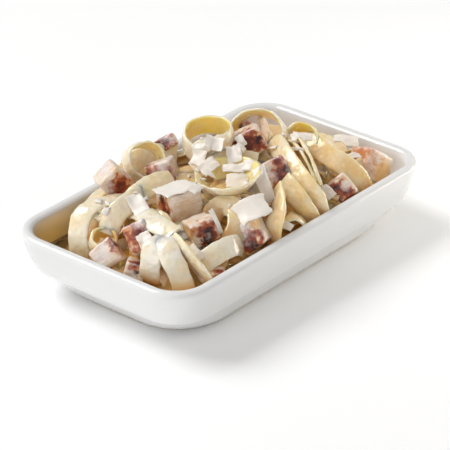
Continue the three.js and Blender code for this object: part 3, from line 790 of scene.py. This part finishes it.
# The inner faces of a loop are painted a brighter yellow than bare pasta: painted light, as if
# lit through the ribbon.
bare_inside_painted_lit = add(tree, "ShaderNodeMix", {
    "Factor": side_of, "A": "#ffdf82", "B": bare}, data_type="RGBA")
cream = add(tree, "ShaderNodeMix", {
    "Factor": tone, "A": "#f6e9d0", "B": "#f7ede0"}, data_type="RGBA")
thin_skin = add(tree, "ShaderNodeMix", {
    "Factor": clinging, "A": bare_inside_painted_lit, "B": cream}, data_type="RGBA")
# Painted shade: the ribbons that lie deeper in the heap are painted ochre.
skin = add(tree, "ShaderNodeMix", {
    "Factor": painted_depth_shade, "A": thin_skin, "B": "#d59d4a"}, data_type="RGBA")
gloss = add(tree, "ShaderNodeMapRange", {"Value": clinging, "To Min": 0.16, "To Max": 0.32})
# Light passes through bare pasta and is held back by the sauce.
see_through = add(tree, "ShaderNodeMapRange", {"Value": clinging, "To Min": 1.0, "To Max": 0.55})
# Fat beads and small bubbles in the sauce, about 2 mm apart.
beads = add(tree, "ShaderNodeTexVoronoi", {
    "Vector": place.outputs["Object"], "Scale": 1 / (2.2 * MM)}, feature="SMOOTH_F1")
bead_relief = add(tree, "ShaderNodeBump", {
    "Strength": 0.75, "Distance": 0.7 * MM, "Height": beads})
patch_relief = add(tree, "ShaderNodeBump", {
    "Strength": 0.5, "Distance": 0.6 * MM, "Height": patches, "Normal": bead_relief})
shader = add(tree, "ShaderNodeBsdfPrincipled", {
    "Base Color": skin, "Roughness": gloss, "IOR": 1.42,
    "Subsurface Weight": see_through, "Subsurface Radius": (1.0, 0.8, 0.5),
    "Subsurface Scale": 2.6 * MM,
    "Coat Weight": 0.85, "Coat Roughness": 0.07, "Normal": patch_relief})
add(tree, "ShaderNodeOutputMaterial", {"Surface": shader})

SAUCE_RELIEF = 1.9
SAUCE_LUMP = 4.2
section = ribbon_section()
fettuccine = swept_mesh("fettuccine", guide_object(guides), ribbon_sweep(), **{
    "Section": section, "Width": RIBBON_WIDTH * MM, "Thickness": BARE_THICKNESS * MM,
    "Sauce Relief": SAUCE_RELIEF * MM, "Sauce Lump Size": SAUCE_LUMP * MM, "Finish": egg_pasta})
bpy.data.objects.remove(section)
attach(fettuccine, "root")
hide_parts("pasta")

# ---------------------------------------------------------------------------------------
# Chicken. Breast meat grilled in one piece and then diced: the skin side is browned and
# scorched in spots, the cut sides are pale and show the fibres, and sauce clings to it.

# Centre, size and turn of each cube, the turn in degrees about Z, then Y, then X. The
# marks are painted on in the cube's own directions, where 1 is the middle of a face: kind,
# place and reach in millimetres.
Cube = namedtuple("Cube", "at size turn marks")
CHICKEN = [
    Cube((-39, 29, 43), (12, 12, 12), (-33, 49, -6), [
        ("brown", (0.1, -1, 0), 5.5), ("char", (0.5, -1, -0.5), 1.8),
        ("orange", (0.2, -1, 0.5), 5), ("film", (-0.4, -1, -0.6), 4), ("crust", (-1, -1, 1), 5),
        ("film", (-1, 0.2, 0.2), 5)]),
    Cube((0, 33, 44), (10, 9, 6), (-38, -27, -31), [
        ("film", (0.4, -1, 0.3), 4), ("char", (-0.6, -1, -0.5), 3), ("brown", (-0.1, -1, 0), 6)]),
    Cube((-18, 19, 42), (12, 12, 10), (-56, -20, -13), [
        ("brown", (-0.6, -1, -0.1), 6.5), ("char", (-0.6, -1, -0.6), 3.6),
        ("film", (0.3, -1, 0.4), 5), ("film", (0, -0.2, 1), 7), ("brown", (0.6, -1, -0.4), 4.5),
        ("char", (0.4, -1, -0.8), 2.5)]),
    Cube((-37, -8, 41.5), (15, 15, 17), (-18, 2, -9), [
        ("orange", (-1, 0.1, 0.1), 7), ("brown", (-1, 0, 0.1), 6), ("char", (-1, 0.2, 0.5), 3),
        ("char", (-1, -0.5, -0.1), 1.8), ("orange", (-1, -0.6, -0.6), 4.5),
        ("char", (-1, -0.8, -0.9), 1.7), ("tan", (0, -1, -0.2), 9),
        ("brown", (0.9, -1, -0.9), 3.5)]),
    Cube((19, 2, 46.5), (15, 13.5, 12.5), (-33, -22, -21), [
        ("brown", (0, -1, 0.1), 8), ("char", (0.6, -1, 0), 2.6), ("char", (-0.5, -1, 0.5), 2.2),
        ("brown", (0.3, -1, -0.3), 5), ("crust", (1, -1, 0.2), 3.5),
        ("film", (-0.7, -1, -0.6), 3.5)]),
    Cube((35, 12, 44), (12, 11, 11), (11, 44, -24), [
        ("brown", (-1, 0.5, -0.1), 3.5), ("char", (-1, 0.7, -0.3), 1.6),
        ("film", (-1, -0.4, 0.5), 6), ("tan", (0, -1, 0), 7), ("crust", (0.7, -1, 1), 3)]),
    Cube((12.5, -20.5, 40.5), (13, 13, 14), (-38, -28, -34), [
        ("tan", (-0.2, -1, 0.3), 6), ("brown", (0.5, -1, -0.3), 7.5),
        ("film", (-0.5, -1, 0.3), 5), ("crust", (1, -0.9, 0), 2.5), ("brown", (0.7, -1, 0.6), 4),
        ("char", (0.8, -1, -0.1), 2)]),
    # The crust on this cube's -X face is also painted light on a face in shade.
    Cube((-43, -25, 38), (12, 12, 11), (-24, -8, -10), [
        ("brown", (0.2, -1, 0.1), 6.5), ("char", (0, -1, -0.6), 4.5), ("char", (0.2, -1, 0.1), 3),
        ("orange", (-0.7, -1, 0.6), 3), ("film", (0.1, -1, -0.3), 2), ("crust", (-1, 0, 0), 7)]),
    Cube((-24, -36.2, 31.5), (14, 13, 13), (-48, -32, -24), [
        ("film", (-0.2, -1, 0.5), 6), ("brown", (0, -1, -0.3), 6), ("char", (0.1, -1, -0.8), 3),
        ("crust", (1, -0.8, 0.5), 5), ("brown", (0.8, -1, -0.3), 2.5)]),
    Cube((-61, -7, 36), (11, 12, 13), (-42, -24, -37), [
        ("orange", (-0.5, -1, 0.3), 7), ("brown", (0, -1, 0), 6.5), ("film", (0.5, -1, 0.7), 3.5),
        ("brown", (1, -0.8, 0), 5), ("char", (0.9, -0.9, 0.8), 2)]),
    Cube((-71, 3, 28), (12, 12, 11), (-35, -33, -43), [
        ("film", (-0.3, -1, 0), 6), ("brown", (1, -0.8, 0.3), 4), ("orange", (1, -0.6, -0.2), 4),
        ("film", (0.3, -1, 0.8), 4)]),
    Cube((-70, -12, 26), (9, 11, 8), (-59, 14, -15), [
        ("brown", (0, -0.5, 1), 4.5), ("char", (0.2, -1, 0.1), 2.2),
        ("film", (-0.3, -1, -0.4), 4)]),
    Cube((37, -37, 29), (11, 12, 11), (-33, -34, -35), [
        ("brown", (-0.6, -1, 0.4), 6), ("brown", (-0.2, -1, -0.6), 6), ("film", (0.5, -1, 0), 3),
        ("crust", (1, -1, 0.6), 3), ("char", (-0.3, -1, 0.3), 1.2)]),
    # The crust on this cube's -Y face is also painted light on a face in shade.
    Cube((63, -32, 28), (15, 14, 14), (-19, 35, -20), [
        ("orange", (-1, 0.1, 0.3), 11), ("brown", (-1, 0.5, 0.1), 4),
        ("crust", (0.3, -1, -0.2), 7)]),
    Cube((33, -14, 41), (10, 9, 8), (-72, -30, -4), [
        ("orange", (0.3, -1, 0.3), 6), ("brown", (1, 0, 0), 4)]),
    Cube((-53, -40, 26), (11, 4, 5), (-20, 10, 20), [
        ("brown", (0.4, -1, 0.3), 4), ("tan", (-0.5, 0, 1), 4)]),
]
MARK_KINDS = ("brown", "char", "film", "crust", "orange", "tan")
CUBE_CELLS = 14
# As shares of half a cube: the round of its edges, how far its corners are drawn in, and
# how far its faces may lean.
EDGE_ROUND = 0.16
CORNER_DRAW = 0.055
LEAN = 0.09
# Height of the relief by fibres and by lumps.
FIBRE_RELIEF = 0.28
LUMP_RELIEF = 0.55
# How much cream film lies along the edges that face up, painted light there as painted sheen.
EDGE_FILM_AND_SHEEN = 0.75


def seeded(seed):
    """Repeatable numbers from 0 to 1, the same as the solids' own."""
    state = seed
    while True:
        state = (state * 1664525 + 1013904223) % 4294967296
        yield state / 4294967296


def cube_skin(cells):
    """Points on the faces of a cube from -1 to 1, shared along its edges, and its quads."""
    index, points, faces = {}, [], []

    def number(point):
        """The index of a point, which is added when it is new."""
        key = tuple(int(round(c * cells)) for c in point)
        if key not in index:
            index[key] = len(points)
            points.append(point)
        return index[key]

    steps = np.linspace(-1, 1, cells + 1)
    for axis in range(3):
        for sign in (-1, 1):
            for i in range(cells):
                for j in range(cells):
                    quad = []
                    for u, v in ((i, j), (i + 1, j), (i + 1, j + 1), (i, j + 1)):
                        point = [0, 0, 0]
                        point[axis] = sign
                        point[(axis + 1) % 3] = steps[u]
                        point[(axis + 2) % 3] = steps[v]
                        quad.append(number(tuple(point)))
                    faces.append(tuple(quad) if sign > 0 else tuple(reversed(quad)))
    return np.array(points, float), faces


def turn_matrix(turn):
    """The turn about Z, then Y, then X, as a matrix."""
    about_z, about_y, about_x = [math.radians(angle) for angle in turn]
    return np.array(Matrix.Rotation(about_z, 3, "Z") @ Matrix.Rotation(about_y, 3, "Y")
                    @ Matrix.Rotation(about_x, 3, "X"))


def diced(piece, number):
    """One cube: its points in millimetres, how strong each mark is there, and its fibres."""
    unit_points, faces = cube_skin(CUBE_CELLS)
    random = seeded(number * 97 + 13)
    skew = [(next(random) * 2 - 1) * LEAN for _ in range(3)]
    size = np.array(piece.size, float)
    inner = np.clip(unit_points, -1 + EDGE_ROUND, 1 - EDGE_ROUND)
    shaped = inner + unit(unit_points - inner) * EDGE_ROUND
    shaped *= 1 - CORNER_DRAW * (np.linalg.norm(unit_points, axis=1, keepdims=True) - 1)
    shaped[:, 0] *= 1 + skew[0] * shaped[:, 1]
    shaped[:, 1] *= 1 + skew[1] * shaped[:, 2]
    shaped[:, 2] *= 1 + skew[2] * shaped[:, 0]
    local = shaped * size / 2
    normals = unit(unit_points ** 5)
    for k, (point, normal) in enumerate(zip(local, normals)):
        along_fibres = Vector((point[0] * 0.25, point[1] * 1.3, point[2] * 1.3))
        fibre = noise.noise(along_fibres + Vector((number * 9, 0, 0)))
        lump = noise.noise(Vector(point) * 0.28 + Vector((0, number * 7, 0)))
        local[k] += normal * (FIBRE_RELIEF * fibre + LUMP_RELIEF * lump)
    marks = {}
    for kind in MARK_KINDS:
        strength = np.zeros(len(local))
        for mark, place, reach in piece.marks:
            if mark == kind:
                away = np.linalg.norm(local - np.array(place) * size / 2, axis=1) / reach
                strength = np.maximum(strength, np.clip(1.25 - away, 0, 1))
        marks[kind] = strength
    # Cream film along the edges that face up, also a painted sheen where the light falls.
    to_edge = np.sort(np.abs(unit_points), axis=1)[:, 1]
    turned = turn_matrix(piece.turn).T
    upward = (normals @ turned)[:, 2]
    marks["film"] = np.maximum(
        marks["film"], EDGE_FILM_AND_SHEEN * to_edge**5 * np.clip(upward + 0.2, 0, 1))
    world_points = local @ turned + np.array(piece.at)
    return world_points, faces, marks, local + number * 40.0


grilled_chicken, tree = finish_named("grilled chicken breast")
# The cube's own directions in millimetres, each cube in a place of its own.
grain = add(tree, "ShaderNodeAttribute", attribute_name="grain").outputs["Vector"]
strength = {kind: add(tree, "ShaderNodeAttribute", attribute_name=kind).outputs["Fac"]
            for kind in MARK_KINDS}
# Muscle fibres run along the first direction of the cube, 0.7 mm apart.
stretched = add(tree, "ShaderNodeVectorMath", {
    0: grain, 1: (0.22, 1.4, 1.4)}, operation="MULTIPLY")
fibres = add(tree, "ShaderNodeTexNoise", {
    "Vector": stretched, "Scale": 1.0, "Detail": 3.0, "Roughness": 0.6})
mottle = add(tree, "ShaderNodeTexNoise", {
    "Vector": grain, "Scale": 0.36, "Detail": 2.5, "Roughness": 0.5})
speckle = add(tree, "ShaderNodeTexNoise", {
    "Vector": grain, "Scale": 0.8, "Detail": 3.0, "Roughness": 0.6})
broad = add(tree, "ShaderNodeTexNoise", {
    "Vector": grain, "Scale": 0.3, "Detail": 3.0, "Roughness": 0.6})


def uneven(kind, texture, swing):
    """A mark's strength, made patchy by a texture and nothing where the mark is not."""
    centred = add(tree, "ShaderNodeMath", {0: texture, 1: 0.5}, operation="SUBTRACT")
    swung = add(tree, "ShaderNodeMath", {
        0: centred, 1: swing, 2: strength[kind]}, operation="MULTIPLY_ADD")
    held = add(tree, "ShaderNodeMath", {
        0: strength[kind], 1: 5.0}, operation="MULTIPLY", use_clamp=True)
    return add(tree, "ShaderNodeMath", {0: swung, 1: held}, operation="MULTIPLY")


def coated(below, colour, amount, start, full):
    """A coat that begins where its amount passes start and is whole at full."""
    share = add(tree, "ShaderNodeMapRange", {
        "Value": amount, "From Min": start, "From Max": full})
    return add(tree, "ShaderNodeMix", {
        "Factor": share, "A": below, "B": colour}, data_type="RGBA")


meat = add(tree, "ShaderNodeValToRGB", {"Fac": fibres}, [
    (0.3, "#e2c4a6"), (0.5, "#eddac6"), (0.7, "#f4e9dd")])
tan_meat = add(tree, "ShaderNodeValToRGB", {"Fac": fibres}, [
    (0.3, "#d9b088"), (0.55, "#e8cba8"), (0.75, "#f0dcc2")])
coats = coated(meat, tan_meat, uneven("tan", broad, 1.0), 0.2, 0.9)
coats = coated(coats, "#efc283", uneven("crust", mottle, 1.2), 0.35, 0.8)
coats = coated(coats, "#cd8044", uneven("orange", mottle, 1.4), 0.15, 0.9)
browning = uneven("brown", mottle, 2.4)
brown_shades = add(tree, "ShaderNodeValToRGB", {"Fac": browning}, [
    (0.3, "#d99a68"), (0.5, "#bd683c"), (0.75, "#9a4527"), (1.0, "#6e2a1c")])
coats = coated(coats, brown_shades, browning, 0.15, 0.45)
coats = coated(coats, "#34161a", uneven("char", speckle, 2.4), 0.35, 0.85)
film_shades = add(tree, "ShaderNodeValToRGB", {"Fac": broad}, [
    (0.35, "#d6ccd8"), (0.6, "#f3ebe4")])
thin_film = add(tree, "ShaderNodeMath", {
    0: uneven("film", broad, 2.6), 1: 0.8}, operation="MULTIPLY", use_clamp=True)
coats = coated(coats, film_shades, thin_film, 0.1, 1.15)
fibre_relief = add(tree, "ShaderNodeBump", {
    "Strength": 0.4, "Distance": 0.5 * MM, "Height": fibres})
speckle_relief = add(tree, "ShaderNodeBump", {
    "Strength": 0.5, "Distance": 0.4 * MM, "Height": speckle, "Normal": fibre_relief})
shader = add(tree, "ShaderNodeBsdfPrincipled", {
    "Base Color": coats, "Roughness": 0.42, "IOR": 1.42, "Subsurface Weight": 0.25,
    "Subsurface Radius": (1.0, 0.6, 0.4), "Subsurface Scale": 0.8 * MM,
    "Coat Weight": 0.5, "Coat Roughness": 0.12, "Normal": speckle_relief})
add(tree, "ShaderNodeOutputMaterial", {"Surface": shader})


def joined(name, parts, material):
    """One mesh from several (points, faces) pairs."""
    points, faces, first = [], [], 0
    for part_points, part_faces in parts:
        points += [tuple(p) for p in part_points]
        faces += [tuple(first + k for k in face) for face in part_faces]
        first += len(part_points)
    return mesh_object(name, points, faces, material)


cubes = [diced(piece, number) for number, piece in enumerate(CHICKEN)]
chicken = joined("diced_chicken", [cube[:2] for cube in cubes], grilled_chicken)
for kind in MARK_KINDS:
    give(chicken.data, kind, np.concatenate([marks[kind] for _, _, marks, _ in cubes]))
give(chicken.data, "grain", np.vstack([grain_points for _, _, _, grain_points in cubes]))
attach(chicken, "root")
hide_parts(*[f"chicken_{number + 1:02d}" for number in range(len(CHICKEN))])

# ---------------------------------------------------------------------------------------
# Parmesan. Hard cheese shaved with a peeler into thin flakes that curl as they come off
# and break along ragged edges. They lie loose on the hot noodles.

# Centre, length and width, turn as for the chicken, the height of the curl, and how far it
# may sag beyond its own shape onto what lies lower.
Flake = namedtuple("Flake", "at size turn curl sag", defaults=(0,))
SHAVINGS = [
    Flake((-37, -7, 51.5), (20, 15), (-18, 4, -9), 0.3, sag=2),
    Flake((-5, 6, 50), (15, 9), (20, -30, -35), 1.4),
    Flake((-5, 0, 56.5), (9, 7), (-62, 11, 39), -0.8),
    Flake((-12, -3, 49), (9, 7), (-20, -25, 25), 0.8),
    Flake((0, -7, 51), (9, 7), (-127, 44, 8), 0.8),
    Flake((-5, -11, 47.5), (11, 5), (-50, 5, 20), 0.6),
    Flake((-11.3, -18.3, 46.5), (10, 7), (-49, 1, 40), 0.6),
    Flake((-4, -27.3, 45), (17, 6), (-109, 54, 31), 1.2),
    Flake((-22.5, -36.5, 43.5), (16, 11.5), (-30, -19, 30), 1.2),
    Flake((-50.5, 3.1, 43), (13, 7.5), (-104, 40, 23), 0.8),
    Flake((-64.9, -13.8, 38), (9, 6.5), (-101, 49, 29), 0.5),
    Flake((-56.5, -33.8, 36), (8, 5), (-88, 37, 36), 0.5),
    Flake((35, -16, 48.5), (10, 5), (-45, -2, 30), 0.6),
    Flake((25, -39, 33), (7, 5), (-83, 34, 39), 0.4),
    Flake((-8, -43, 31.5), (6, 3.5), (-66, 15, 38), 0.3),
    Flake((53, -31, 37), (7, 3), (-30, 5, 20), 0.3),
    Flake((68.5, -14.2, 33), (12, 6.5), (-55, 4, 28), 0.6),
]
SHAVING_THICKNESS = 0.5
# Cells along and across a flake, a sliver and a crumb.
FLAKE_CELLS = (30, 18)
SLIVER_CELLS = (12, 6)
CRUMB_CELLS = (4, 3)
# How far off a flake what it rests on is looked for, the gap it keeps to that, and how far
# it may be lifted. Each round of bending spreads a lift by one cell.
LOOK_OUT = 4.0
CLEARANCE = 0.4
MOST_LIFT = 3.2
BEND_ROUNDS = 16
# The ragged outline: smallest share of the full size, how far it varies, finer breaks.
LEAST_SIDE = 0.84
SIDE_SWING = 0.17
RAGGED = 0.08


def surface_tree(piece):
    """An object's faces, ready for rays to be cast on them."""
    return BVHTree.FromObject(piece, bpy.context.evaluated_depsgraph_get())


below = [surface_tree(fettuccine), surface_tree(chicken)]


def laid_on(points, normal, shape, sag):
    """Lifts a flake off what it would cut through and lets it sag onto what lies lower,
    softly, as it bends."""
    away = Vector(normal if normal @ np.array(towards_camera) > 0 else -normal)
    per_sheet = shape[0] * shape[1]
    rests = []
    for k in range(per_sheet):
        start = (Vector((points[k] + points[k + per_sheet]) / 2) + away * LOOK_OUT) * MM
        hits = [faces.ray_cast(start, -away, (LOOK_OUT + sag + 1) * MM) for faces in below]
        lifts = [LOOK_OUT + CLEARANCE - hit[3] / MM for hit in hits if hit[0]]
        rests.append(max(lifts, default=-sag))
    floor = np.clip(rests, -sag, MOST_LIFT).reshape(shape)
    grid = floor
    for _ in range(BEND_ROUNDS):
        padded = np.pad(grid, 1, mode="edge")
        spread = (padded[:-2, 1:-1] + padded[2:, 1:-1] + padded[1:-1, :-2] + padded[1:-1, 2:]) / 4
        grid = np.maximum(spread, floor)
    return points + np.tile(grid.ravel(), 2)[:, None] * np.array(away)


def shaving(piece, number, cells=FLAKE_CELLS):
    """One flake as a closed thin sheet with ragged edges, both faces split alike."""
    long_cells, wide_cells = cells
    random = seeded(number * 31 + 5)
    knots = np.linspace(-1, 1, 6)
    sides = [[LEAST_SIDE + SIDE_SWING * next(random) for _ in knots] for _ in range(4)]
    points = {-1: [], 1: []}
    for j in range(wide_cells + 1):
        for i in range(long_cells + 1):
            u, v = 2 * i / long_cells - 1, 2 * j / wide_cells - 1
            rim = max(abs(u), abs(v))
            breaks = noise.noise(Vector((u * 6.0, v * 6.0, number * 3.1)))
            fine = 1 + breaks * RAGGED * rim**3
            x = u * np.interp(v, knots, sides[0 if u > 0 else 1]) * fine * piece.size[0] / 2
            y = v * np.interp(u, knots, sides[2 if v > 0 else 3]) * fine * piece.size[1] / 2
            wave = piece.curl * (1 - 1.6 * u * u) + 0.4 * piece.curl * math.sin(3 * u + 2 * v)
            wave += 0.35 * noise.noise(Vector((u * 1.6, v * 1.6, number * 2.7)))
            thin = 1 - 0.4 * rim**4
            for face in (-1, 1):
                points[face].append((x, y, wave + face * SHAVING_THICKNESS / 2 * thin))
    row = long_cells + 1
    per_sheet = row * (wide_cells + 1)
    faces = []
    for j in range(wide_cells):
        for i in range(long_cells):
            a = j * row + i
            quad = (a, a + 1, a + row + 1, a + row)
            faces.append(tuple(reversed(quad)))
            faces.append(tuple(k + per_sheet for k in quad))
    border = list(range(long_cells)) + [j * row + long_cells for j in range(wide_cells)]
    border += [wide_cells * row + i for i in range(long_cells, 0, -1)]
    border += [j * row for j in range(wide_cells, 0, -1)]
    for k, a in enumerate(border):
        b = border[(k + 1) % len(border)]
        faces.append((a, b, b + per_sheet, a + per_sheet))
    sheet = np.array(points[-1] + points[1])
    turned = turn_matrix(piece.turn)
    placed = sheet @ turned.T + np.array(piece.at)
    return laid_on(placed, turned[:, 2], (wide_cells + 1, long_cells + 1), piece.sag), faces


hard_cheese, tree = finish_named("shaved hard cheese")
place = add(tree, "ShaderNodeTexCoord")
curd = add(tree, "ShaderNodeTexNoise", {
    "Vector": place.outputs["Object"], "Scale": 1 / (2.5 * MM), "Detail": 4.0, "Roughness": 0.65})
colour = add(tree, "ShaderNodeMix", {
    "Factor": curd, "A": "#efe6da", "B": "#f8f2ea"}, data_type="RGBA")
relief = add(tree, "ShaderNodeBump", {"Strength": 0.35, "Distance": 0.4 * MM, "Height": curd})
shader = add(tree, "ShaderNodeBsdfPrincipled", {
    "Base Color": colour, "Roughness": 0.36, "IOR": 1.45, "Subsurface Weight": 0.4,
    "Subsurface Radius": (1.0, 0.9, 0.75), "Subsurface Scale": 0.3 * MM, "Normal": relief})
add(tree, "ShaderNodeOutputMaterial", {"Surface": shader})

shavings = joined(
    "parmesan_shavings", [shaving(piece, k) for k, piece in enumerate(SHAVINGS)], hard_cheese)
# The faces of the border come last in each flake. They stay flat, so that its edge is crisp.
border_faces = 2 * sum(FLAKE_CELLS)
faces_each = 2 * FLAKE_CELLS[0] * FLAKE_CELLS[1] + border_faces
for polygon in shavings.data.polygons:
    polygon.use_smooth = polygon.index % faces_each < faces_each - border_faces
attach(shavings, "root")
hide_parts(*[f"shaving_{number + 1:02d}" for number in range(len(SHAVINGS))])

# Slivers that broke off the flakes, and the crumbs between them.
SLIVERS = [
    Flake((-38.7, -30.1, 42), (13, 2.4), (-68, 66, 50), 0.4),
    Flake((27.9, -18.7, 46), (8, 1.6), (-56, 9, 49), 0.3),
    Flake((0.6, -16.7, 47), (8, 5.5), (-58, 8, 39), 0.5),
    Flake((9.1, -3.1, 53), (6, 4), (-95, 46, 34), 0.4),
    Flake((6.5, -5, 51), (5, 3.5), (-60, 30, 34), 0.3),
    Flake((-8, 4, 54), (8, 3), (-62, 11, 39), 0.4),
    Flake((-19, -9, 50), (7, 4), (-20, 30, 20), 0.6),
    Flake((-35, -15, 51), (7, 5), (10, 12, 20), 0.5),
]
CRUMB_PATCHES = [
    # Middle of the patch, how far it spreads and how many lie in it.
    ((-49, 5), 6, 9), ((-33, -9), 4, 6), ((-17, -3), 6, 8), ((-8, 3), 6, 7), ((-11, -18), 6, 6),
    ((9, -3), 4, 4), ((30, -16), 6, 5), ((38, -18), 6, 4), ((-22, -30), 7, 4), ((-60, 16), 5, 4),
    ((20, 12), 20, 6), ((52, 4), 12, 5),
]
SLIVER_SEED, CRUMB_SEED = 40, 60
CRUMB_LENGTH = (1.5, 4.2)
CRUMB_CURL = 0.15
DROP_HEIGHT = 90
crumb_draw = np.random.default_rng(5)
below.append(surface_tree(shavings))
bits = [shaving(piece, SLIVER_SEED + k, SLIVER_CELLS) for k, piece in enumerate(SLIVERS)]
for middle, reach, count in CRUMB_PATCHES:
    for _ in range(count):
        x, y = crumb_draw.normal(middle, reach / 2)
        start = Vector((x, y, DROP_HEIGHT)) * MM
        drops = [faces.ray_cast(start, Vector((0, 0, -1))) for faces in below]
        landed = max((hit for hit in drops if hit[0]), key=lambda hit: hit[0].z, default=None)
        # No crumb is put on a flake, nor within 3 mm of the dish's wall.
        if landed in (None, drops[2]) or wall_gap(x, y, landed[0].z / MM) < 3:
            continue
        length = crumb_draw.uniform(*CRUMB_LENGTH)
        width = length * crumb_draw.uniform(0.4, 0.8)
        turn = crumb_draw.uniform(0, 360), crumb_draw.normal(0, 25), crumb_draw.normal(20, 25)
        crumb = Flake(tuple(landed[0] / MM + landed[1] * 0.3), (length, width), turn, CRUMB_CURL)
        bits.append(shaving(crumb, CRUMB_SEED + len(bits), CRUMB_CELLS))
crumbs = joined("parmesan_crumbs", bits, hard_cheese)
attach(crumbs, "root")
